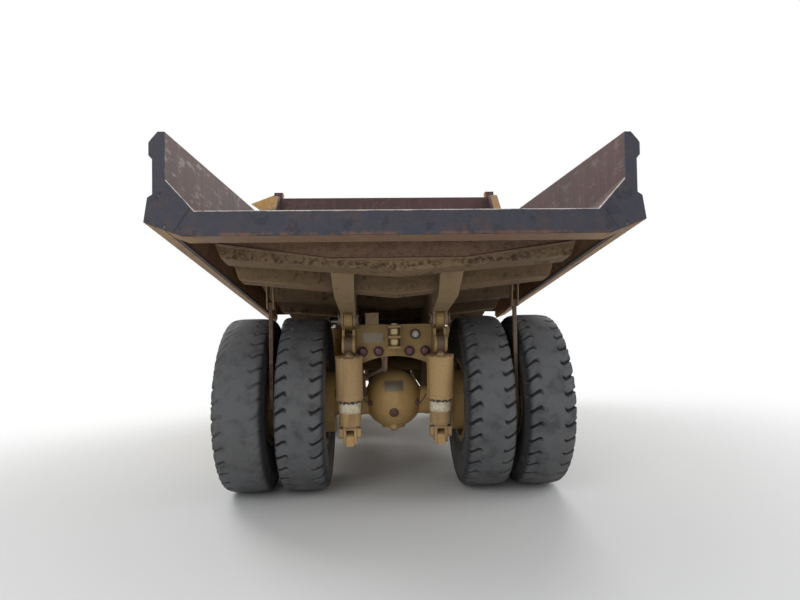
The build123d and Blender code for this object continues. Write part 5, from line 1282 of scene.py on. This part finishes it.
eased("battery_box", front_paint, width=0.006)
lid_parts = []
for y in (-2.02, -1.63):
    lid_parts.append(turned([(-0.045, 0.010), (0.045, 0.010)], (-1.108, y, 2.438), BACK, 12))
    lid_parts.append(block((-1.112, y - 0.04, 2.36), (-1.096, y + 0.04, 2.434)))
    lid_parts += bolts([(-1.097, y + b, 2.385) for b in (-0.024, 0.024)], LEFT, 0.006, 0.006)
lid_parts.append(pipe([(-1.813, -1.90, 2.452), (-1.842, -1.895, 2.452), (-1.842, -1.755, 2.452),
                       (-1.813, -1.75, 2.452)], 0.007, 8, 0.02))
lid_parts.append(block((-1.812, -1.850, 2.33), (-1.799, -1.800, 2.44)))
lid_parts.append(turned([(0.0, 0.022), (0.006, 0.022), (0.008, 0.018)], (-1.811, -1.825, 2.36), RIGHT, 20))
shown("battery_lid_parts", lid_parts, rail_steel, ease=0.0015)
eased("mirrors", rail_steel, width=0.010)
silver = Paint("mirror_silver", base_color=(226, 230, 232), metallic=1.0, roughness=0.04)
film = silver.noise(9.0, 6.0, 0.7)
silver.put(base_color=silver.mix(film.between(0.45, 0.7) * 0.3, (226, 230, 232), (170, 162, 148)),
           roughness=0.03 + film.between(0.4, 0.7) * 0.2)
glass_panes, mirror_rims, mirror_clamps = [], [], []
for sign in (1, -1):
    for z, height in ((2.916, 0.252), (2.704, 0.132)):
        glass_panes.append(slab((sign * 2.190, -3.559, z), (0.184, 0.006, height)))
        edge = oblong((sign * 2.190, -3.558, z), 0.184, height, "y")
        mirror_rims.append(carried(square(0.010, 0.010), edge, BACK, True))
    for z in (2.70, 2.98):
        mirror_clamps.append(slab((sign * 1.850, -3.590, z), (0.056, 0.064, 0.044)))
        mirror_clamps += bolts([(sign * 1.850 + b, -3.559, z) for b in (-0.017, 0.017)], BACK, 0.005, 0.006)
shown("mirror_glass", glass_panes, silver.material)
shown("mirror_rims", mirror_rims, rail_steel, ease=0.002)
shown("mirror_clamps", mirror_clamps, rail_steel, ease=0.002)

# Cab. A welded steel box in faded golden paint, with a rain gutter, a stiffened roof, rubber window
# seals, one wiper, and a door with a pull handle beside a grab rail.

# the middle of the cab and of what stands in it
CAB_X = 1.180
cab_paint = weathered("cab_paint", (212, 168, 76), (194, 154, 80), (120, 80, 48), chipped=0.2, dust=0.4,
                      runs=0.35, rough=0.5, seed=70.0)
eased("cab_shell", cab_paint, width=0.008)
eased("cab_door", cab_paint, width=0.003)
roof = [carried(square(0.018, 0.012), oblong((CAB_X, -2.450, 3.452), 1.015, 1.615), closed=True)]
roof += [slab((x, -2.45, 3.5245), (0.06, 1.30, 0.011)) for x in np.arange(0.83, 1.6, 0.175)]
shown("cab_roof_trim", roof, cab_paint, ease=0.003)
# plane, place, sides and heights of each fixed window's rubber
PANES = (("xz", -3.232, 0.770, 1.590, 2.770, 3.390), ("xz", -1.668, 0.810, 1.550, 2.810, 3.350),
         ("yz", 0.698, -3.090, -1.810, 2.810, 3.370), ("yz", 1.662, -2.080, -1.760, 2.770, 3.370))


def seal(plane, place, a0, a1, z0, z1):
    """A window's rubber: a bar with rounded corners round the opening, flat on the pane."""
    path = np.insert(rounded(a0, a1, z0, z1, 0.020, 5), 1 if plane == "xz" else 0, place, axis=1)
    return carried([(-0.014, -0.010), (0.014, -0.010), (0.014, 0.006), (0.006, 0.010), (-0.014, 0.010)], path,
                   BACK if plane == "xz" else LEFT, True)


shown("window_seals", [seal(*pane) for pane in PANES], rubber, smooth=50)
shown("door_seal", [seal("yz", 1.662, -2.960, -2.300, 2.790, 3.310)], rubber, "door",
      smooth=50)
pane = Paint("cab_glass", base_color=(206, 222, 220), transmission_weight=1.0, ior=1.10, roughness=0.03)
grime = pane.noise(5.0, 6.0, 0.7)
edge = pane.axes(pane.place())[2]
veil = grime.between(0.42, 0.70) * 0.20 + (1 - edge.between(2.80, 2.95)) * 0.16 + 0.05
pane.put(roughness=veil * 0.5 + 0.02)
pane.over(veil, pane.node("BsdfDiffuse", {}, {"Color": (170, 158, 134)}))
eased("cab_windows", pane.material, width=0)
eased("cab_door_window", pane.material, width=0)
arm = [(CAB_X, -3.262, 2.735), (1.120, -3.258, 2.850), (1.020, -3.245, 3.060)]
blade = [(1.125, -3.238, 2.860), (1.020, -3.238, 3.060), (0.915, -3.238, 3.260)]
wiper = [turned([(0.0, 0.020), (0.012, 0.020), (0.016, 0.014)], (CAB_X, -3.250, 2.735), FRONT, 16),
         carried(square(0.016, 0.005), arm, BACK), carried(square(0.010, 0.012), blade, BACK)]
shown("wiper", wiper, rail_steel, ease=0.001)
handle_line = [(x, -3.010, z) for x, z in ((1.672, 2.640), (1.712, 2.635), (1.716, 2.560), (1.716, 2.500),
                                           (1.712, 2.440), (1.672, 2.435))]
handle = [pipe(handle_line, 0.010, 10, 0.02, BACK),
          block((1.673, -3.045, 2.660), (1.680, -2.975, 2.730)),
          turned([(0.0, 0.016), (0.008, 0.016), (0.010, 0.012)], (1.679, -3.010, 2.700), LEFT, 16)]
shown("door_handle", handle, rail_steel, "door", smooth=50)
grab_line = [(x, -2.132, z) for x, z in ((1.676, 2.330), (1.728, 2.340), (1.736, 2.420), (1.736, 2.800),
                                         (1.736, 3.180), (1.728, 3.260), (1.676, 3.270))]
grab = [pipe(grab_line, 0.013, 12, up=BACK)]
grab += [turned([(0.0, 0.026), (0.006, 0.026), (0.008, 0.022)], (1.679, -2.132, z), LEFT, 16)
         for z in (2.330, 3.270)]
shown("grab_rail", grab, rail_steel, smooth=50)

# Dash and controls. A moulded panel with five gauges and a row of rocker switches, three pedals and
# a ribbed rubber mat. The steering wheel's rim has finger grips.

plastic = Paint("dash_plastic")
fine, broad = plastic.noise(220.0, 3.0), plastic.noise(4.0, 5.0)
plastic.bump(fine, 0.0006, 0.6)
plastic.put(base_color=plastic.mix(broad.between(0.4, 0.7) * 0.5, (52, 52, 54), (84, 78, 68)),
            roughness=0.55 + broad * 0.2)
eased("dashboard", plastic.material, width=0.006)
rings, dials, switches, needles = [], [], [], []
for k, (x, z, radius) in enumerate(((1.06, 2.62, 0.055), (1.30, 2.62, 0.055), (0.93, 2.60, 0.036),
                                    (1.43, 2.60, 0.036), (1.18, 2.665, 0.030))):
    place = (x, -2.940, z)
    rings.append(turned([(-0.002, radius), (0.010, radius), (0.012, radius - 0.004),
                         (0.004, radius - 0.006)], place, BACK, 28))
    dials.append(turned([(0.001, radius - 0.006), (0.0035, radius - 0.006), (0.004, 0.002)], place, BACK, 28))
    lean, reach = 0.9 - 0.5 * k, radius - 0.012
    tip = (x + reach * math.sin(lean), -2.9345, z + reach * math.cos(lean))
    needles.append(carried(square(0.003, 0.001), [(x, -2.9345, z), tip], BACK))
    needles.append(turned([(0.003, 0.006), (0.007, 0.005)], place, BACK, 12))
for x in np.arange(0.86, 1.53, 0.055):
    switches.append(carried([(0.0, -0.016), (0.0, 0.016), (0.010, 0.014), (0.005, -0.014)],
                            [(x - 0.012, -2.9405, 2.515), (x + 0.012, -2.9405, 2.515)]))
dial_face = Paint("dial_face", roughness=0.3, coat_weight=0.6)
x, y, z = dial_face.axes(dial_face.place())
ticks = dial_face.maths("SINE", x * 900.0) * dial_face.maths("SINE", z * 900.0)
dial_face.put(base_color=dial_face.mix(ticks.between(0.86, 0.95), (28, 30, 32), (196, 196, 186)))
shown("gauge_rings", rings, rail_steel, smooth=35)
shown("gauge_dials", dials, dial_face.material, smooth=30)
shown("gauge_needles", needles, weathered("needle_red", (196, 70, 40), (186, 66, 40), (150, 60, 40), dust=0.0,
                                          chipped=0.0, worn_edge=0.0, seed=71.0))
shown("rocker_switches", switches, rubber, ease=0.0015)
pedals = []
for x, width in ((0.98, 0.09), (1.18, 0.12), (1.38, 0.07)):
    foot = [(x, -2.885, 2.150), (x, -2.925, 2.340)]
    pedals.append(carried(square(width, 0.010), foot, (0, 1, 0.3)))
    pedals += [carried(square(width - 0.01, 0.008), [(x, -2.890 - 0.04 * t, 2.163 + 0.19 * t),
                                                     (x, -2.892 - 0.04 * t, 2.170 + 0.19 * t)], (0, 1, 0.3))
               for t in np.linspace(0.05, 0.85, 6)]
    pedals.append(pipe([(x, -2.915, 2.29), (x, -2.937, 2.33), (x, -2.945, 2.38)], 0.010, 8, up=LEFT))
mat = [block((0.78, -2.84, 2.1195), (1.58, -1.78, 2.126))]
mat += [slab((x, -2.31, 2.1275), (0.012, 1.02, 0.005)) for x in np.arange(0.80, 1.57, 0.030)]
shown("pedals", pedals, rail_steel, ease=0.0015)
shown("cab_mat", mat, rubber)
WHEEL_AXIS = (0, 1, 1)
hub, around = np.array((CAB_X, -2.790, 2.810)), turns(144)
grip = hub + 0.210 * (rod(1, len(around)) @ np.array((LEFT, unit((0, -1, 1)))))
finger_grips = swollen(rod(0.0172, 10), grip, 1 + 0.05 * np.clip(np.sin(around * 36), -0.3, 1),
                       WHEEL_AXIS, True)
cap = turned([(0.0, 0.050), (0.016, 0.050), (0.024, 0.038), (0.026, 0.010)], hub, WHEEL_AXIS, 28)
shown("wheel_grip", [finger_grips, cap], rubber)

# Seat. A dark cloth seat on a ribbed bellows: two foam cushions with sewn channels and piping, a
# headrest on two posts, folding armrests and a lap belt.

cloth = Paint("seat_cloth", roughness=0.95)
x, y, z = cloth.axes(cloth.place())
weave = cloth.maths("SINE", (x + y) * 2400.0) * cloth.maths("SINE", (x - y + z) * 2400.0)
wear, patch = cloth.noise(5.0, 6.0, 0.65), cloth.noise(30.0, 6.0)
colour = cloth.mix(wear.between(0.38, 0.66) * 0.6, (58, 58, 62), (94, 88, 78))
colour = cloth.mix(weave.between(0.2, 0.9) * 0.25, colour, (112, 108, 102))
cloth.bump(weave * 0.5 + patch * 0.5, 0.0012, 0.5)
cloth.put(base_color=colour)
vinyl = weathered("seat_vinyl", (44, 44, 46), (56, 54, 52), (76, 68, 58), chipped=0.15, dust=0.3,
                  worn_edge=0.1, rough=0.5, seed=72.0)


def where(mesh):
    """The places of a mesh's points."""
    flat = np.empty(len(mesh.vertices) * 3)
    mesh.vertices.foreach_get("co", flat)
    return flat.reshape(-1, 3)


VOXEL, CLOTH_STEPS, SWELL_LIMIT = 0.010, 20, 0.026


def cushion(name, low, high, crown):
    """A foam pad between two corners, its edges rounded off, that swells as cloth does.

    The shell is x = middle + half * u / (|u|^n + |v|^n + |w|^n)^(1/n) with n = 7, for each point
    (u, v, w) of a cube's faces.
    """
    low, high = np.array(low) + crown, np.array(high) - crown
    sheet = np.linspace(-1, 1, 13)
    a, b = (grid.ravel() for grid in np.meshgrid(sheet, sheet, indexing="ij"))
    sides, groups = [], []
    for axis in range(3):
        for end in (-1, 1):
            face = np.insert(np.stack((a, b), -1), axis, end, axis=1)
            quads = net(len(sheet), len(sheet)) + len(groups) * len(a)
            groups.append(quads if end * (-1) ** axis > 0 else quads[:, ::-1])
            sides.append(face)
    cube = np.concatenate(sides)
    cube = cube / (np.abs(cube) ** 7).sum(1, keepdims=True) ** (1 / 7)
    mesh = bpy.data.meshes.new(name)
    mesh.from_pydata(((low + high) / 2 + cube * (high - low) / 2).tolist(), [],
                     np.concatenate(groups).tolist())
    merged(mesh, 1e-5, bmesh.ops.recalc_face_normals, flat=0)
    made = placed(name, mesh)
    remesh = made.modifiers.new("voxels", "REMESH")
    remesh.voxel_size = VOXEL
    even = bpy.data.meshes.new_from_object(made.evaluated_get(bpy.context.evaluated_depsgraph_get()))
    made.modifiers.clear()
    made.data = even
    # a low pad is held along its underside and swells up, a tall one along its rear and swells forward
    axis, held, way = (2, low[2], 1) if high[2] - low[2] < 0.3 else (1, high[1], -1)
    start = where(even)
    end = start
    pins = made.vertex_groups.new(name="held")
    pins.add(np.flatnonzero(np.abs(start[:, axis] - held) < 0.004).tolist(), 1.0, "REPLACE")
    swelling = made.modifiers.new("swelling", "CLOTH")
    swelling.settings.use_pressure, swelling.settings.uniform_pressure_force = True, 4.0
    swelling.settings.effector_weights.gravity = 0.0
    swelling.settings.vertex_group_mass = "held"
    swelling.point_cache.frame_end = CLOTH_STEPS
    for step in range(1, CLOTH_STEPS + 1):
        bpy.context.scene.frame_set(step)
    end = where(made.evaluated_get(bpy.context.evaluated_depsgraph_get()).data)
    bpy.context.scene.frame_set(1)
    made.modifiers.clear()
    made.vertex_groups.clear()
    shift = end - start
    far = np.linalg.norm(shift, axis=1, keepdims=True)
    shift *= np.minimum(1, SWELL_LIMIT / np.maximum(far, 1e-9))
    moved = start + shift
    # sewn channels: shallow grooves across the side towards the driver
    across = moved[:, 3 - axis]
    outer = (moved[:, axis] - held) * way / (high[axis] - low[axis])
    lines = np.linspace(across.min(), across.max(), 6)[1:-1]
    near = np.abs(across[:, None] - lines).min(1)
    sunk = 0.007 * np.exp(-(near / 0.008) ** 2) * np.clip((outer - 0.6) / 0.3, 0, 1)
    moved[:, axis] -= sunk * way
    even.vertices.foreach_set("co", moved.ravel())
    even.update()
    dressed(even, cloth.material)
    finer = made.modifiers.new("finer", "SUBSURF")
    finer.levels = finer.render_levels = 1
    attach(made, "chassis")
    return made


cushion("seat_cushion", (0.935, -2.515, 2.425), (1.425, -2.070, 2.538), 0.014)
cushion("seat_back", (0.955, -2.062, 2.520), (1.405, -1.960, 2.950), 0.014)
cushion("headrest", (1.050, -2.050, 2.990), (1.310, -1.965, 3.170), 0.010)
shells = [block((0.950, -2.500, 2.395), (1.410, -2.040, 2.428)),
          block((0.970, -1.962, 2.480), (1.390, -1.932, 2.950)),
          block((1.075, -2.390, 2.120), (1.285, -2.150, 2.150)),
          block((1.075, -2.390, 2.370), (1.285, -2.150, 2.398))]
shells += [carried(square(0.014, 0.016), oblong((CAB_X, -2.270, z), 0.240, 0.260), closed=True)
           for z in np.arange(2.165, 2.365, 0.028)]
shells.append(block((1.070, -2.390, 2.145), (1.290, -2.150, 2.375)))
for sign in (1, -1):
    x = CAB_X + sign * 0.262
    shells.append(slab((x + sign * 0.025, -2.170, 2.656), (0.050, 0.380, 0.032)))
    shells.append(slab((x - sign * 0.030, -1.970, 2.620), (0.016, 0.040, 0.120)))
    post = [(CAB_X + sign * 0.070, y, z) for y, z in ((-1.990, 2.930), (-1.995, 2.965), (-2.000, 3.010))]
    shells.append(pipe(post, 0.006, 8, up=LEFT))
seat_frame = shown("seat_frame", shells, vinyl, ease=0.005)
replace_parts(seat_frame, "operator_seat")
strap = [(1.432, -2.10, 2.44), (1.430, -2.16, 2.52), (1.380, -2.25, 2.560), (1.310, -2.30, 2.560)]
belt = [carried(square(0.048, 0.0025), smooth_path(strap, 0.02), (0.3, 1, 0.5)),
        block((1.255, -2.330, 2.552), (1.315, -2.282, 2.574))]
shown("lap_belt", belt, rail_steel, smooth=50)
